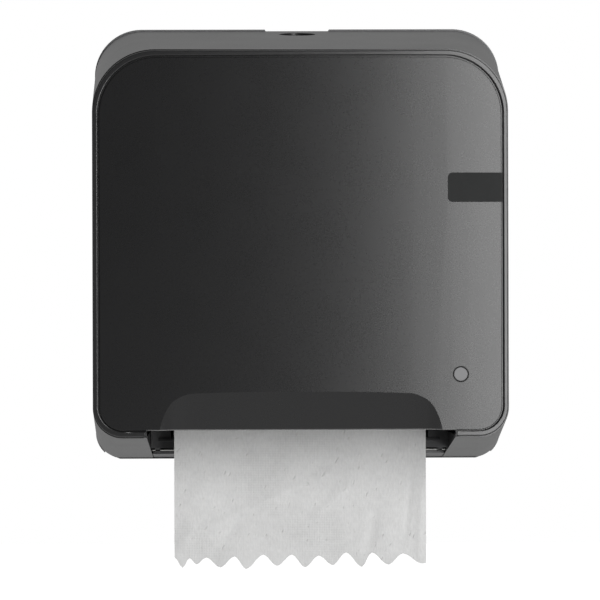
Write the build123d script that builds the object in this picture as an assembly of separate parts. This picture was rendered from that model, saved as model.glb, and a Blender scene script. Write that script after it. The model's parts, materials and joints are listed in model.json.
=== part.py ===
from build123d import *
import math
import os

# Every length is in millimetres. X points right, +Y points to the wall and Z points up.
# The origin is the centre of the four wall holes, on the wall face of the back plate.

# Body outline, which tapers in straight lines from the wall to the front
body_depth = 220.0
rear_half_width = 169.0
rear_top = 179.7
rear_bottom = -179.7
rear_top_radius = 39.0
rear_bottom_radius = 21.0
side_draft = 6.0
top_draft = 31.0
bottom_draft = 26.1
front_top_radius = 50.0
front_bottom_radius = 24.0
front_sagitta = 8.0
corner_cut_start = 7.3
corner_cut_side = 28.6
corner_cut_rise = 31.2
corner_cut_radius = 31.8
corner_cut_depth = 20.0

# Cover shell and front panel
cover_wall = 2.8
front_wall = 2.6
rim_band = 4.1
rim_step = 0.7
rim_edge_radius = 0.9
rim_end_radius = 5.2
panel_groove = 1.3
panel_thickness = 2.5
panel_edge_radius = 0.6
panel_bottom = -148.8
seat_gap = 0.1
undercut_set_back = 4.2
undercut_width = 1.2
undercut_depth = 1.4
seam_gap = 0.3
stud_radius = 2.6
stud_length = 9.0
stud_inset = 27.0
stud_heights = [118.0, 0.0, -128.0]
clip_radius = 6.5
clip_thickness = 1.0
clip_gap = 0.05
clip_stand_off = 1.2

# Mouth at the bottom, open from the front edge to the rear shelf
mouth_side_gap = 3.0
rim_notch_over = 1.3
mouth_web = 2.5
mouth_web_height = 15.0

# Finger scoop pressed into the lower middle of the panel
scoop_top = -118.3
scoop_slope_deg = 21.8
scoop_floor_radius = 2300.0
scoop_floor_half = 84.0
scoop_flank_arcs = [(60.0, 14.6), (18.0, 49.5)]
scoop_wall = 2.4
scoop_opening_margin = 4.0
scoop_opening_side = 2.6

# Plain badge plate and round sight window on the panel
badge_width = 42.8
badge_over_edge = 0.6
badge_bottom = 29.7
badge_top = 52.6
badge_corner = 3.6
badge_depth = 0.7
badge_thickness = 0.6
window_x = 125.2
window_z = -105.2
window_hole_radius = 6.4
window_ring_gap = 0.05
window_ring_wall = 0.95
window_ring_length = 8.0
window_ring_rise = 0.2
lens_thickness = 3.0
lens_set_back = 0.25
lens_gap = 0.05
lens_edge_radius = 0.3

# Back plate
plate_thickness = 3.0
back_flange_depth = 9.7
back_flange_wall = 2.5
back_flange_swing_gap = 0.6
plate_bottom_step = 0.5
top_notch_half = 27.5
top_notch_depth = 1.5
top_notch_slant = 1.5
shelf_depth = 45.0
shelf_thickness = 2.6
shelf_end_gap = 0.4
shelf_end_wall = 2.5
shelf_end_rise = 10.0
shelf_end_depth = 32.0
shelf_end_land = 4.0
plate_rib_height = 4.0
plate_rib_width = 2.5
upright_rib_places = [-60.0, -20.0, 20.0, 60.0]
level_rib_places = [-150.0, 130.0]
level_rib_half = 90.0
wall_hole_x = 140.0
wall_hole_z = 120.0
wall_hole_radius = 2.75
wall_boss_radius = 9.0
wall_boss_height = 1.5

# Hinge of the cover
hinge_y = -20.0
hinge_z = -168.0
hinge_pin_radius = 3.0
hinge_boss_radius = 6.0
hinge_boss_length = 6.0
running_gap = 0.05

# Paper and towel roll
paper_half_width = 101.0
paper_thickness = 0.3
paper_gap = 0.3
roll_y = -106.0
roll_z = 58.0
roll_radius = 80.0
core_outer_radius = 20.5
core_wall = 1.5
tail_split_z = -120.0
tail_tip_z = -262.0
tooth_depth = 9.7
tooth_pitch = 22.5
tail_thickness = 0.4
tail_fold_count = 6
tail_fold_depth = 1.3
tail_mid_z = -190.0
tail_lean = 2.0
tail_top_fold = 0.05
tail_fold_share = 0.6
tail_fold_turn = 1.7

# Frame cheeks
cheek_side_gap = 6.5
cheek_thickness = 4.0
cheek_foot_width = 12.0
cheek_foot_thickness = 3.0
cheek_foot_low = -144.0
cheek_foot_high = -6.0
cheek_low = -168.0
cheek_high = 0.0
cheek_margin = 20.0
cheek_ring = 46.0
cheek_top_angle = 10.0
cheek_front_angle = 80.0
cheek_lower_angle = 145.0
cheek_toe = 14.0
cheek_toe_tip = 3.0
cheek_toe_depth = 1.8
cheek_toe_top = -163.0
foot_screw_inset = 14.0

# Cutting drum, with the slot for its knife
drum_y = -95.0
drum_z = -100.0
drum_radius = 43.0
drum_wall = 3.0
drum_overhang = 6.5
drum_end_thickness = 4.0
knife_angle = 160.0
drum_slot_width = 5.4
axle_radius = 6.0
axle_flange_radius = 11.0
axle_flange_thickness = 2.0
bush_outer_radius = 10.0
bush_flange_radius = 13.0
bush_flange_thickness = 1.5
bush_tail = 1.0
grip_places = [-72.0, 0.0, 72.0]
grip_width = 12.0
grip_depth = 0.9
grip_thickness = 0.95
drum_screw_radius = 1.4
drum_screw_head = 2.7
drum_screw_head_depth = 1.2
drum_screw_length = 9.0
end_hole_circle = 26.0
end_hole_radius = 6.0
end_hole_angles = [40.0, 90.0, 140.0]

# Sliding knife inside the drum
knife_travel = 15.0
blade_tip_radius = 41.5
blade_base_radius = 13.0
blade_thickness = 0.8
blade_overhang = 2.0
carrier_inner = 9.0
carrier_outer = 23.0
carrier_half_thickness = 4.0
carrier_end_gap = 1.0
lug_inner = 12.5
lug_outer = 19.5
lug_half_width = 2.5
lug_side_gap = 0.1
lug_end_gap = 0.5
lug_stand_out = 0.4
follower_radius = 3.0
follower_pin_radius = 1.5
follower_width = 3.4
follower_side_gap = 0.6
guide_gap = 0.3
guide_wall = 3.7
guide_start = 275.0
guide_sweep = 220.0
guide_side_gap = 0.1

# Crank, main spring, ratchet and feed knob on the drum axle
crank_radius = 23.0
crank_thickness = 4.0
crank_gap = 1.0
crank_pin_circle = 17.0
crank_pin_radius = 2.5
crank_pin_length = 12.0
spring_post_y = -52.0
spring_post_z = -12.0
spring_post_radius = 3.0
spring_post_length = 18.0
post_head = 1.5
bracket_thickness = 3.0
bracket_half = 12.0
bracket_top = 10.0
bracket_rear_rise = 4.0
bracket_front_drop = 2.0
spring_wire = 1.4
spring_coil_radius = 5.6
spring_pitch = 2.2
spring_turns = 20
spring_hook_gap = 0.4
ratchet_tip_radius = 16.0
ratchet_root_radius = 12.5
ratchet_teeth = 12
ratchet_thickness = 4.0
ratchet_flank_deg = 4.0
pawl_pivot_y = -64.0
pawl_pivot_z = -76.0
pawl_pin_radius = 2.5
pawl_half_width = 2.4
pawl_tip_angle = 75.0
pawl_tip_gap = 0.5
pawl_tip_length = 5.0
pawl_tip_height = 4.5
pawl_tip_slope = 0.4
pawl_root_inset = 0.2
knob_radius = 21.0
knob_length = 20.0
knob_gap = 1.5
knob_flutes = 12
knob_flute_radius = 3.0
knob_flute_offset = 1.0
knob_face = 3.0
knob_edge_radius = 2.0

# Guide rod, mouth rod, chute and cross tie
guide_rod_y = -40.0
guide_rod_z = -92.0
guide_rod_radius = 4.0
mouth_rod_y = -62.0
mouth_rod_z = -169.9
mouth_rod_radius = 0.6
mouth_rod_snap = 0.7
mouth_rod_end_gap = 0.5
chute_radius = 60.0
chute_thickness = 2.0
chute_start = 168.0
chute_end = 236.0
guard_front = -105.0
guard_thickness = 2.0
guard_low = -166.8
guard_ear_high = -149.6
guard_ear_inner = 104.5
guard_side_gap = 0.6
tie_y = -14.0
tie_z = -14.0
tie_radius = 5.0

# Pinch roller and its arm
pinch_angle = -10.0
pinch_radius = 12.0
pinch_gap = 0.4
pinch_shaft_radius = 3.0
pinch_sleeve_length = 30.0
pinch_sleeve_places = [-80.0, -27.0, 27.0, 80.0]
pinch_pivot_y = -45.0
pinch_pivot_z = -40.0
pinch_pivot_radius = 4.0
pinch_arm_gap = 2.0
pinch_arm_thickness = 3.0
pinch_arm_half_width = 7.0
pinch_bar_radius = 3.0
pinch_bar_offset = 2.0
pinch_arm_taper = 1.0

# Roll arms and hubs
arm_hub_gap = 1.4
arm_thickness = 4.0
arm_end_radius = 15.0
arm_root_half = 26.0
hub_pin_radius = 4.0
hub_flange_radius = 27.0
hub_flange_gap = 0.6
hub_flange_thickness = 3.0
hub_plug_length = 15.0
hub_plug_root_radius = 18.6
hub_plug_tip_radius = 15.5
arm_pin_y = -13.0
arm_pin_radius = 2.5
arm_barrel_radius = 6.0
arm_lug_height = 5.0
arm_lug_gap = 0.3
arm_foot_rise = 12.0
arm_foot_side = 4.0
arm_screw_offset = 6.0
hub_hole_radius = 2.6
hub_hole_offset = 4.2
hub_hole_count = 4

# Quarter-turn lock in the top of the cover
lock_set_back = 48.0
lock_cup_radius = 15.0
lock_cup_depth = 4.0
lock_cup_wall = 2.5
barrel_radius = 8.0
barrel_head_radius = 9.6
barrel_head_thickness = 1.6
barrel_end_depth = 12.6
lock_housing_depth = 11.5
lock_housing_wall = 3.0
lock_flange_thickness = 1.4
lock_cam_radius = 20.0
lock_cam_thickness = 2.6
keeper_post_distance = 14.0
keeper_post_radius = 2.5
keeper_post_gap = 0.7
keeper_arm_depth = 8.3
keeper_arm_thickness = 2.7
keeper_half_width = 8.0
keeper_foot_half = 14.0
keeper_foot_thickness = 3.0
keeper_foot_height = 30.0
keeper_screw_drop = 21.0
keeper_post_over = 3.0
key_slot_width = 2.0
key_slot_length = 11.0
key_slot_depth = 6.0

# Fasteners
screw_radius = 2.0
screw_head_radius = 4.0
screw_head_height = 2.4
screw_hole_gap = 0.05
screw_head_gap = 0.5
screw_cross_half = 2.6
screw_cross_width = 1.0
screw_cross_depth = 1.0

# Cutting tools run past what they cut, and pieces of one solid run into each other
past = 1.0
far_past = 5.0
front_past = 20.0
front_zone = 30.0
reach = 260.0
overlap = 0.5
quarters = 4

# Values worked out from the sizes above
front_half_width = rear_half_width - side_draft
front_top = rear_top - top_draft
front_bottom = rear_bottom + bottom_draft
drum_half_length = paper_half_width + drum_overhang
cheek_inner = drum_half_length + cheek_side_gap
mouth_half_width = cheek_inner + cheek_thickness + mouth_side_gap
rim_notch_half_width = mouth_half_width + rim_notch_over
badge_right = front_half_width - rim_band - panel_groove + badge_over_edge
badge_left = badge_right - badge_width
blade_half_width = paper_half_width + blade_overhang
carrier_half_length = drum_half_length - drum_end_thickness - carrier_end_gap
pinch_arm_inner = cheek_inner - pinch_arm_gap - pinch_arm_thickness
hub_flange_inner = paper_half_width + hub_flange_gap
arm_inner = hub_flange_inner + hub_flange_thickness + arm_hub_gap
taper_top = (rear_top - front_top) / body_depth
taper_bottom = (front_bottom - rear_bottom) / body_depth
crown_radius = (front_half_width ** 2 + front_sagitta ** 2) / (2 * front_sagitta)
panel_seat = panel_thickness + seat_gap
cover_rear = -(back_flange_depth + seam_gap)
stud_x = front_half_width - stud_inset
stud_places = [(side * stud_x, z) for z in stud_heights for side in (-1, 1)]


# Small shape helpers

def block(x0, x1, y0, y1, z0, z1):
    """Box between two corners."""
    return Pos((x0 + x1) / 2, (y0 + y1) / 2, (z0 + z1) / 2) * Box(abs(x1 - x0), abs(y1 - y0), abs(z1 - z0))


def bar_x(y, z, radius, x0, x1):
    """Round bar along X."""
    return Pos((x0 + x1) / 2, y, z) * Rot(0, 90, 0) * Cylinder(radius, abs(x1 - x0))


def bar_y(x, z, radius, y0, y1):
    """Round bar along Y."""
    return Pos(x, (y0 + y1) / 2, z) * Rot(90, 0, 0) * Cylinder(radius, abs(y1 - y0))


def bar_z(x, y, radius, z0, z1):
    """Round bar along Z."""
    return Pos(x, y, (z0 + z1) / 2) * Cylinder(radius, abs(z1 - z0))


def cone_x(y, z, radius0, radius1, x0, x1):
    """Round taper along +X from radius0 at x0 to radius1 at x1."""
    return Pos((x0 + x1) / 2, y, z) * Rot(0, 90, 0) * Cone(radius0, radius1, x1 - x0)


def tube_x(y, z, outer, inner, x0, x1):
    """Round tube along X."""
    return bar_x(y, z, outer, x0, x1) - bar_x(y, z, inner, min(x0, x1) - past, max(x0, x1) + past)


def plate_x(points, x0, x1):
    """Flat plate: a closed outline of (y, z) corners, as thick as x0 to x1."""
    corners = [(x0, y, z) for y, z in points]
    face = make_face(Polyline(*corners, close=True))
    return extrude(face, amount=abs(x1 - x0), dir=(math.copysign(1, x1 - x0), 0, 0))


def mirrored(shape):
    """The same piece on the other side of the body."""
    return mirror(shape, about=Plane.YZ)


def polar(y, z, radius, angle):
    """Point in the side view, at a standard angle from +Y towards +Z."""
    return y + radius * math.cos(math.radians(angle)), z + radius * math.sin(math.radians(angle))


def drum_point(radius, angle):
    """Point about the drum axis, at an angle from the top towards the front."""
    return drum_y - radius * math.sin(math.radians(angle)), drum_z + radius * math.cos(math.radians(angle))


def ring_sector_x(y, z, outer, inner, start, sweep, x0, x1):
    """Sector of a tube along X, by standard side-view angles."""
    edges = []
    for radius in (outer, inner):
        first = polar(y, z, radius, start)
        middle = polar(y, z, radius, start + sweep / 2)
        last = polar(y, z, radius, start + sweep)
        edges.append(ThreePointArc((x0, *first), (x0, *middle), (x0, *last)))
    edges.append(Line((x0, *polar(y, z, outer, start)), (x0, *polar(y, z, inner, start))))
    edges.append(Line((x0, *polar(y, z, outer, start + sweep)), (x0, *polar(y, z, inner, start + sweep))))
    return extrude(make_face(edges), amount=abs(x1 - x0), dir=(math.copysign(1, x1 - x0), 0, 0))


# Body outline and crowned front

def upright_outline(y, half_width, top, bottom, top_radius, bottom_radius):
    """Upright face at depth y, with its own top and bottom corner radii."""
    edges = []
    corners = [
        (half_width - top_radius, top - top_radius, top_radius, 0),
        (-half_width + top_radius, top - top_radius, top_radius, 90),
        (-half_width + bottom_radius, bottom + bottom_radius, bottom_radius, 180),
        (half_width - bottom_radius, bottom + bottom_radius, bottom_radius, 270),
    ]
    ends = []
    for x, z, radius, start in corners:
        points = []
        for angle in (start, start + 45, start + 90):
            radians = math.radians(angle)
            points.append((x + radius * math.cos(radians), y, z + radius * math.sin(radians)))
        edges.append(ThreePointArc(*points))
        ends.append((points[0], points[2]))
    for index in range(4):
        edges.append(Line(ends[index][1], ends[(index + 1) % 4][0]))
    return make_face(edges)


def body_outline(y, inset=0.0):
    """Outline of the tapered body at depth y, drawn in by inset."""
    share = -y / body_depth

    def between(rear, front):
        return rear + (front - rear) * share

    return upright_outline(
        y,
        between(rear_half_width, front_half_width) - inset,
        between(rear_top, front_top) - inset,
        between(rear_bottom, front_bottom) + inset,
        between(rear_top_radius, front_top_radius) - inset,
        between(rear_bottom_radius, front_bottom_radius) - inset,
    )


def body_solid(rear_y, inset=0.0):
    """Tapered body from rear_y to past the front, drawn in by inset."""
    return loft([body_outline(rear_y, inset), body_outline(-body_depth - front_past, inset)], ruled=True)


def behind_crown(depth):
    """Everything behind the crowned front surface, set back by depth."""
    half = rear_half_width + front_past
    radius = crown_radius - depth
    drop = radius - math.sqrt(radius ** 2 - half ** 2)
    front = -body_depth + depth
    edges = [
        ThreePointArc((-half, front + drop, -reach), (0, front, -reach), (half, front + drop, -reach)),
        Line((half, front + drop, -reach), (half, body_depth, -reach)),
        Line((half, body_depth, -reach), (-half, body_depth, -reach)),
        Line((-half, body_depth, -reach), (-half, front + drop, -reach)),
    ]
    return extrude(make_face(edges), amount=2 * reach, dir=(0, 0, 1))


def front_prism(inset, low_edge):
    """Straight prism along Y inside the front rim, drawn in by inset, with its own low edge."""
    face = upright_outline(
        -body_depth - front_past,
        front_half_width - inset,
        front_top - inset,
        low_edge,
        front_top_radius - inset,
        front_bottom_radius - inset,
    )
    return extrude(face, amount=front_past + front_zone, dir=(0, 1, 0))


def top_surface(y):
    """Height of the body's top at depth y."""
    return rear_top + taper_top * y


def bottom_surface(y):
    """Height of the body's bottom at depth y."""
    return rear_bottom - taper_bottom * y


def lock_frame():
    """Plane on the top of the cover at the lock: its normal leaves the cover."""
    tilt = math.atan(taper_top)
    origin = (0, -lock_set_back, top_surface(-lock_set_back))
    return Plane(origin=origin, x_dir=(1, 0, 0), z_dir=(0, -math.sin(tilt), math.cos(tilt)))


def lock_bar(x, y, radius, depth0, depth1):
    """Round bar square to the cover's top, between two depths below it."""
    return lock_frame() * (Pos(x, y, -(depth0 + depth1) / 2) * Cylinder(radius, abs(depth1 - depth0)))


# Cover, panel and what they carry

def scoop_flank(centre_y, wall):
    """Arcs of the scoop's right flank as triples of (x, y) points, thickened by wall."""
    turn = math.asin(scoop_floor_half / scoop_floor_radius)
    x = scoop_floor_half
    y = centre_y + scoop_floor_radius * (1 - math.cos(turn))
    arcs = []
    for radius, degrees in scoop_flank_arcs:
        middle = (x + radius * math.sin(turn), y - radius * math.cos(turn))
        end = turn - math.radians(degrees)
        points = []
        for angle in (turn, (turn + end) / 2, end):
            outer = radius + wall
            points.append((middle[0] - outer * math.sin(angle), middle[1] + outer * math.cos(angle)))
        arcs.append(points)
        x, y = middle[0] - radius * math.sin(end), middle[1] + radius * math.cos(end)
        turn = end
    return arcs


def scoop_cutter(wall):
    """Slanted trough that leaves the panel at its bottom edge, thickened by wall."""
    slope = math.tan(math.radians(scoop_slope_deg))
    start_z = scoop_top + front_zone
    centre_y = -body_depth - slope * (start_z - scoop_top)
    arcs = scoop_flank(centre_y, wall)
    first, last = arcs[0][0], arcs[-1][-1]
    far_y = -body_depth - 2 * front_zone
    edges = [ThreePointArc((-first[0], first[1], start_z), (0, centre_y + wall, start_z), (*first, start_z))]
    for side in (1, -1):
        for points in arcs:
            edges.append(ThreePointArc(*[(side * x, y, start_z) for x, y in points]))
        edges.append(Line((side * last[0], last[1], start_z), (side * last[0], far_y, start_z)))
    edges.append(Line((last[0], far_y, start_z), (-last[0], far_y, start_z)))
    length = (start_z - panel_bottom + front_past) / math.cos(math.radians(scoop_slope_deg))
    direction = (0, math.sin(math.radians(scoop_slope_deg)), -math.cos(math.radians(scoop_slope_deg)))
    return extrude(make_face(edges), amount=length, dir=direction)


def mouth_cutter():
    """Space of the mouth through the rim, the bottom wall and the rear edge."""
    mouth = block(-mouth_half_width, mouth_half_width, -reach, past, -reach, panel_bottom - seat_gap)
    front_rear = -body_depth + panel_seat + front_wall
    half = rim_notch_half_width
    high = panel_bottom - seat_gap
    notch = block(-half, half, -reach, front_rear, -reach, high)
    end = block(half - overlap, half + rim_end_radius, -reach, front_rear, -reach, high)
    end -= bar_z(half + rim_end_radius, front_rear, rim_end_radius, -reach, high)
    return mouth + notch + end + mirrored(end)


def corner_cutter():
    """Shallow step in the right lower corner at the wall."""
    low = rear_bottom - past
    side = rear_half_width - corner_cut_start
    middle_x = rear_half_width - corner_cut_side
    middle_z = rear_bottom + corner_cut_rise
    corner = block(middle_x, side, -corner_cut_depth, past, low, middle_z)
    return corner - bar_y(middle_x, middle_z, corner_cut_radius, -corner_cut_depth - past, 2 * past)


def mouth_side_web():
    """Upright web along the right side of the mouth, with its hinge boss."""
    inner, outer = mouth_half_width, mouth_half_width + mouth_web
    strip = block(inner, outer, -body_depth + panel_seat + front_wall, cover_rear, -reach, front_bottom)
    hollow = body_solid(cover_rear + far_past, mouth_web_height)
    web = (strip & body_solid(cover_rear)) - hollow
    boss = bar_x(hinge_y, hinge_z, hinge_boss_radius, outer - overlap, outer + hinge_boss_length)
    return web + boss


def make_rim():
    """Crowned rim round the panel, rounded at its front edges and drawn in behind the shell's outline."""
    slab = (body_solid(cover_rear, rim_step) & behind_crown(0)) - behind_crown(undercut_set_back)
    ring = slab - front_prism(rim_band, front_bottom + rim_band)
    return fillet(ring.faces().sort_by(Axis.Y)[0].edges(), rim_edge_radius)


def make_cover_shell():
    """Tapered cover with its crowned rim, mouth, lock cup and hinge bosses."""
    ledge = undercut_set_back + undercut_width
    outer = body_solid(cover_rear) & behind_crown(ledge)
    outer += body_solid(cover_rear, rim_step) & behind_crown(panel_seat)
    outer += make_rim()
    inner = body_solid(cover_rear + far_past, cover_wall) & behind_crown(panel_seat + front_wall)
    shell = outer - inner
    band = behind_crown(undercut_set_back) - behind_crown(undercut_set_back + undercut_width)
    shell -= (body_solid(cover_rear, -past) - body_solid(cover_rear, undercut_depth)) & band
    shell -= mouth_cutter()
    shell -= corner_cutter() + mirrored(corner_cutter())
    opening = scoop_flank(0, 0)[-1][-1][0] + scoop_opening_side
    zone = -body_depth + front_zone
    shell -= block(-opening, opening, -reach, zone, -reach, scoop_top + scoop_opening_margin)
    shell -= bar_y(window_x, window_z, window_hole_radius, -reach, zone)
    for x, z in stud_places:
        shell -= bar_y(x, z, stud_radius + seat_gap, -reach, zone)
    shell += mouth_side_web() + mirrored(mouth_side_web())
    hinge_bore = hinge_pin_radius + running_gap
    shell -= bar_x(hinge_y, hinge_z, hinge_bore, -rear_half_width, rear_half_width)
    cup_low = lock_cup_depth + lock_cup_wall
    shell += lock_bar(0, 0, lock_cup_radius + lock_cup_wall, overlap, cup_low)
    shell -= lock_bar(0, 0, lock_cup_radius, -far_past, lock_cup_depth)
    shell -= lock_bar(0, 0, barrel_radius + running_gap, 0, cup_low + past)
    return shell


def make_front_panel():
    """Crowned panel with its finger scoop, badge pocket, sight hole and studs."""
    region = front_prism(rim_band + panel_groove, panel_bottom)
    slab = region & (behind_crown(0) - behind_crown(panel_thickness))
    front_edges = slab.faces().sort_by(Axis.Y)[0].edges()
    slab = fillet(front_edges, panel_edge_radius)
    trough = scoop_cutter(scoop_wall) & region & behind_crown(panel_thickness / 2)
    panel = slab + trough - scoop_cutter(0)
    panel -= badge_prism(seat_gap) - behind_crown(badge_depth)
    panel -= bar_y(window_x, window_z, window_hole_radius, -reach, -body_depth + front_zone)
    for x, z in stud_places:
        root = -body_depth + panel_thickness
        panel += bar_y(x, z, stud_radius, root, root + stud_length) & behind_crown(panel_thickness - overlap)
    return panel


def badge_prism(margin):
    """Outline of the badge as a prism through the panel, grown by margin."""
    left, right = badge_left - margin, badge_right + margin
    low, high = badge_bottom - margin, badge_top + margin
    radius = badge_corner + margin
    plate = block(left, right, -body_depth - front_past, -body_depth + front_past, low, high)
    return fillet(plate.edges().filter_by(Axis.Y).group_by(Axis.X)[0], radius)


def make_badge_plate():
    """Bare plate that follows the crowned panel and ends at its edge."""
    top = badge_depth - badge_thickness
    return badge_prism(0) & (behind_crown(top) - behind_crown(badge_depth))


def make_panel_clips():
    """Push-on clips on the panel's studs, behind the cover's front wall."""
    clips = []
    for x, z in stud_places:
        seat = crown_y(x) + panel_seat + front_wall + clip_stand_off
        ring = bar_y(x, z, clip_radius, seat, seat + clip_thickness)
        clips.append(ring - bar_y(x, z, stud_radius + clip_gap, seat - far_past, seat + far_past))
    return clips


def crown_y(x):
    """Depth of the crowned front surface at x."""
    return -body_depth + crown_radius - math.sqrt(crown_radius ** 2 - x ** 2)


def make_window_bezel():
    """Dark ring round the sight lens."""
    front = crown_y(window_x) - window_ring_rise
    rear = front + window_ring_length
    outer = window_hole_radius - window_ring_gap
    ring = bar_y(window_x, window_z, outer, front, rear)
    return ring - bar_y(window_x, window_z, outer - window_ring_wall, front - past, rear + past)


def make_window_lens():
    """Frosted lens inside the ring."""
    front = crown_y(window_x) + lens_set_back
    radius = window_hole_radius - window_ring_gap - window_ring_wall - lens_gap
    lens = bar_y(window_x, window_z, radius, front, front + lens_thickness)
    return fillet(lens.edges().group_by(Axis.Y)[0], lens_edge_radius)


# Lock

def make_lock_housing():
    """Flanged guide tube under the lock cup."""
    start = lock_cup_depth + lock_cup_wall
    tube = lock_bar(0, 0, barrel_radius + lock_housing_wall, start, lock_housing_depth)
    flange = lock_bar(0, 0, lock_cup_radius, start, start + lock_flange_thickness)
    return tube + flange - lock_bar(0, 0, barrel_radius + running_gap, 0, lock_housing_depth + past)


def make_lock_barrel():
    """Barrel with a key slot, seated on the floor of the cup."""
    head_top = lock_cup_depth - barrel_head_thickness
    barrel = lock_bar(0, 0, barrel_radius, head_top, barrel_end_depth)
    barrel += lock_bar(0, 0, barrel_head_radius, head_top, lock_cup_depth)
    slot = Box(key_slot_length, key_slot_width, key_slot_depth + past)
    return barrel - lock_frame() * (Pos(0, 0, -head_top - (key_slot_depth - past) / 2) * slot)


def make_lock_cam():
    """Round cam with an entry slot and a quarter-turn track for the keeper post."""
    top = barrel_end_depth
    low = top + lock_cam_thickness
    cam = lock_bar(0, 0, lock_cam_radius, top, low)
    half = keeper_post_radius + keeper_post_gap
    inner, outer = keeper_post_distance - half, keeper_post_distance + half
    height = 3 * lock_cam_thickness
    middle = -(top + low) / 2
    entry_middle = keeper_post_distance + lock_cam_radius / 2
    entry = Pos(0, entry_middle, middle) * Box(2 * half, lock_cam_radius, height)
    quarter = Pos(outer, outer, middle) * Box(2 * outer, 2 * outer, height)
    ring = Cylinder(outer, height) - Cylinder(inner, height)
    track = (Pos(0, 0, middle) * ring) & quarter
    ends = Pos(keeper_post_distance, 0, middle) * Cylinder(half, height)
    ends += Pos(0, keeper_post_distance, middle) * Cylinder(half, height)
    return cam - lock_frame() * (entry + track + ends)


def make_lock_screw():
    """Screw that holds the cam on the barrel."""
    low = barrel_end_depth + lock_cam_thickness
    return lock_bar(0, 0, screw_head_radius, low, low + screw_head_height)


def make_lock_keeper():
    """Bracket on the back plate whose post stands in the cam's slot."""
    arm_front = keeper_post_distance - keeper_post_radius
    arm_rear = lock_set_back + 2 * far_past
    middle_z = -(keeper_arm_depth + keeper_arm_thickness / 2)
    arm = Pos(0, (arm_front + arm_rear) / 2, middle_z) * Box(
        2 * keeper_half_width, arm_rear - arm_front, keeper_arm_thickness)
    keeper = lock_frame() * arm
    cam_low = barrel_end_depth + lock_cam_thickness
    post_top = keeper_arm_depth + overlap
    keeper += lock_bar(0, keeper_post_distance, keeper_post_radius, post_top, cam_low + keeper_post_over)
    keeper -= block(-reach, reach, -plate_thickness, reach, -reach, reach)
    foot_top = top_surface(-plate_thickness) - keeper_arm_depth
    foot = block(-keeper_foot_half, keeper_foot_half, -plate_thickness - keeper_foot_thickness,
                 -plate_thickness, foot_top - keeper_foot_height, foot_top)
    keeper += foot
    for x, z in keeper_screw_places():
        keeper -= bar_y(x, z, screw_radius + screw_hole_gap, -reach, 0)
    return keeper


def keeper_screw_places():
    """Centres of the keeper's two screws."""
    z = top_surface(-plate_thickness) - keeper_arm_depth - keeper_screw_drop
    return [(-keeper_foot_half / 2, z), (keeper_foot_half / 2, z)]


# Back plate

def foot_screw_places():
    """Centres of the screws of both cheeks' feet."""
    x = cheek_inner + cheek_thickness + cheek_foot_width / 2
    places = []
    for side in (-1, 1):
        for z in (cheek_foot_low + foot_screw_inset, cheek_foot_high - foot_screw_inset):
            places.append((side * x, z))
    return places


def arm_screw_places():
    """Centres of the screws of the left arm's foot and of the right arm's bracket."""
    middle = arm_inner + arm_thickness / 2
    places = []
    rise = arm_root_half + arm_screw_offset
    for z in (roll_z - rise, roll_z + rise):
        places.append((-middle, z))
        places.append((middle, z))
    return places


def make_back_plate():
    """Wall plate with its flange, top notch, rear shelf, ribs and wall holes."""
    low = rear_bottom + plate_bottom_step
    outline = (rear_half_width, rear_top, low, rear_top_radius, rear_bottom_radius)
    plate = extrude(upright_outline(0, *outline), amount=plate_thickness, dir=(0, -1, 0))
    wall = back_flange_wall
    inner = (
        rear_half_width - wall,
        rear_top - wall,
        low + wall,
        rear_top_radius - wall,
        rear_bottom_radius - wall,
    )
    ring = extrude(upright_outline(0, *outline), amount=back_flange_depth, dir=(0, -1, 0))
    ring -= extrude(upright_outline(past, *inner), amount=back_flange_depth + 2 * past, dir=(0, -1, 0))
    swing = math.hypot(cover_rear - hinge_y, bottom_surface(cover_rear) - hinge_z) + back_flange_swing_gap
    keep = block(-reach, reach, -plate_thickness, past, -reach, reach)
    ring -= bar_x(hinge_y, hinge_z, swing, -reach, reach) - keep
    plate += ring
    plate += make_shelf(low)
    plate += make_plate_ribs()
    top, half = rear_top, top_notch_half
    floor = top - top_notch_depth
    slant = half - top_notch_slant
    corners = [
        (-half, past, top + past),
        (half, past, top + past),
        (slant, past, floor),
        (-slant, past, floor),
    ]
    notch_face = make_face(Polyline(*corners, close=True))
    plate -= extrude(notch_face, amount=back_flange_depth + 2 * past, dir=(0, -1, 0))
    for x in (-wall_hole_x, wall_hole_x):
        for z in (-wall_hole_z, wall_hole_z):
            plate += bar_y(x, z, wall_boss_radius, -plate_thickness - wall_boss_height, -overlap)
            plate -= bar_y(x, z, wall_hole_radius, -reach, past)
    for x, z in foot_screw_places() + arm_screw_places() + keeper_screw_places():
        plate -= bar_y(x, z, screw_radius + screw_hole_gap, -reach, past)
    return plate - corner_cutter() - mirrored(corner_cutter())


def make_shelf(low):
    """Rear strip of the bottom, with end walls that hold the hinge pins."""
    front_low = low + taper_bottom * shelf_depth
    half = mouth_half_width - shelf_end_gap
    strip = plate_x([(0, low), (-shelf_depth, front_low), (-shelf_depth, front_low + shelf_thickness),
                     (0, low + shelf_thickness)], -half, half)
    end_top = hinge_z + shelf_end_rise
    for side in (-1, 1):
        strip += plate_x([(0, low), (-shelf_end_depth, low + taper_bottom * shelf_end_depth),
                          (-shelf_end_depth, hinge_z), (hinge_y - shelf_end_land, end_top),
                          (0, end_top)],
                         side * (half - shelf_end_wall), side * half)
    bore = hinge_pin_radius + running_gap
    return strip - bar_x(hinge_y, hinge_z, bore, -half - past, half + past)


def make_plate_ribs():
    """Raised stiffening ribs on the inside of the plate."""
    ribs = []
    front = -plate_thickness - plate_rib_height
    root = -plate_thickness + overlap
    half = plate_rib_width / 2
    low, high = level_rib_places
    for x in upright_rib_places:
        ribs.append(block(x - half, x + half, front, root, low, high))
    for z in (low, high):
        ribs.append(block(-level_rib_half, level_rib_half, front, root, z - half, z + half))
    return ribs


# Frame

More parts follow.
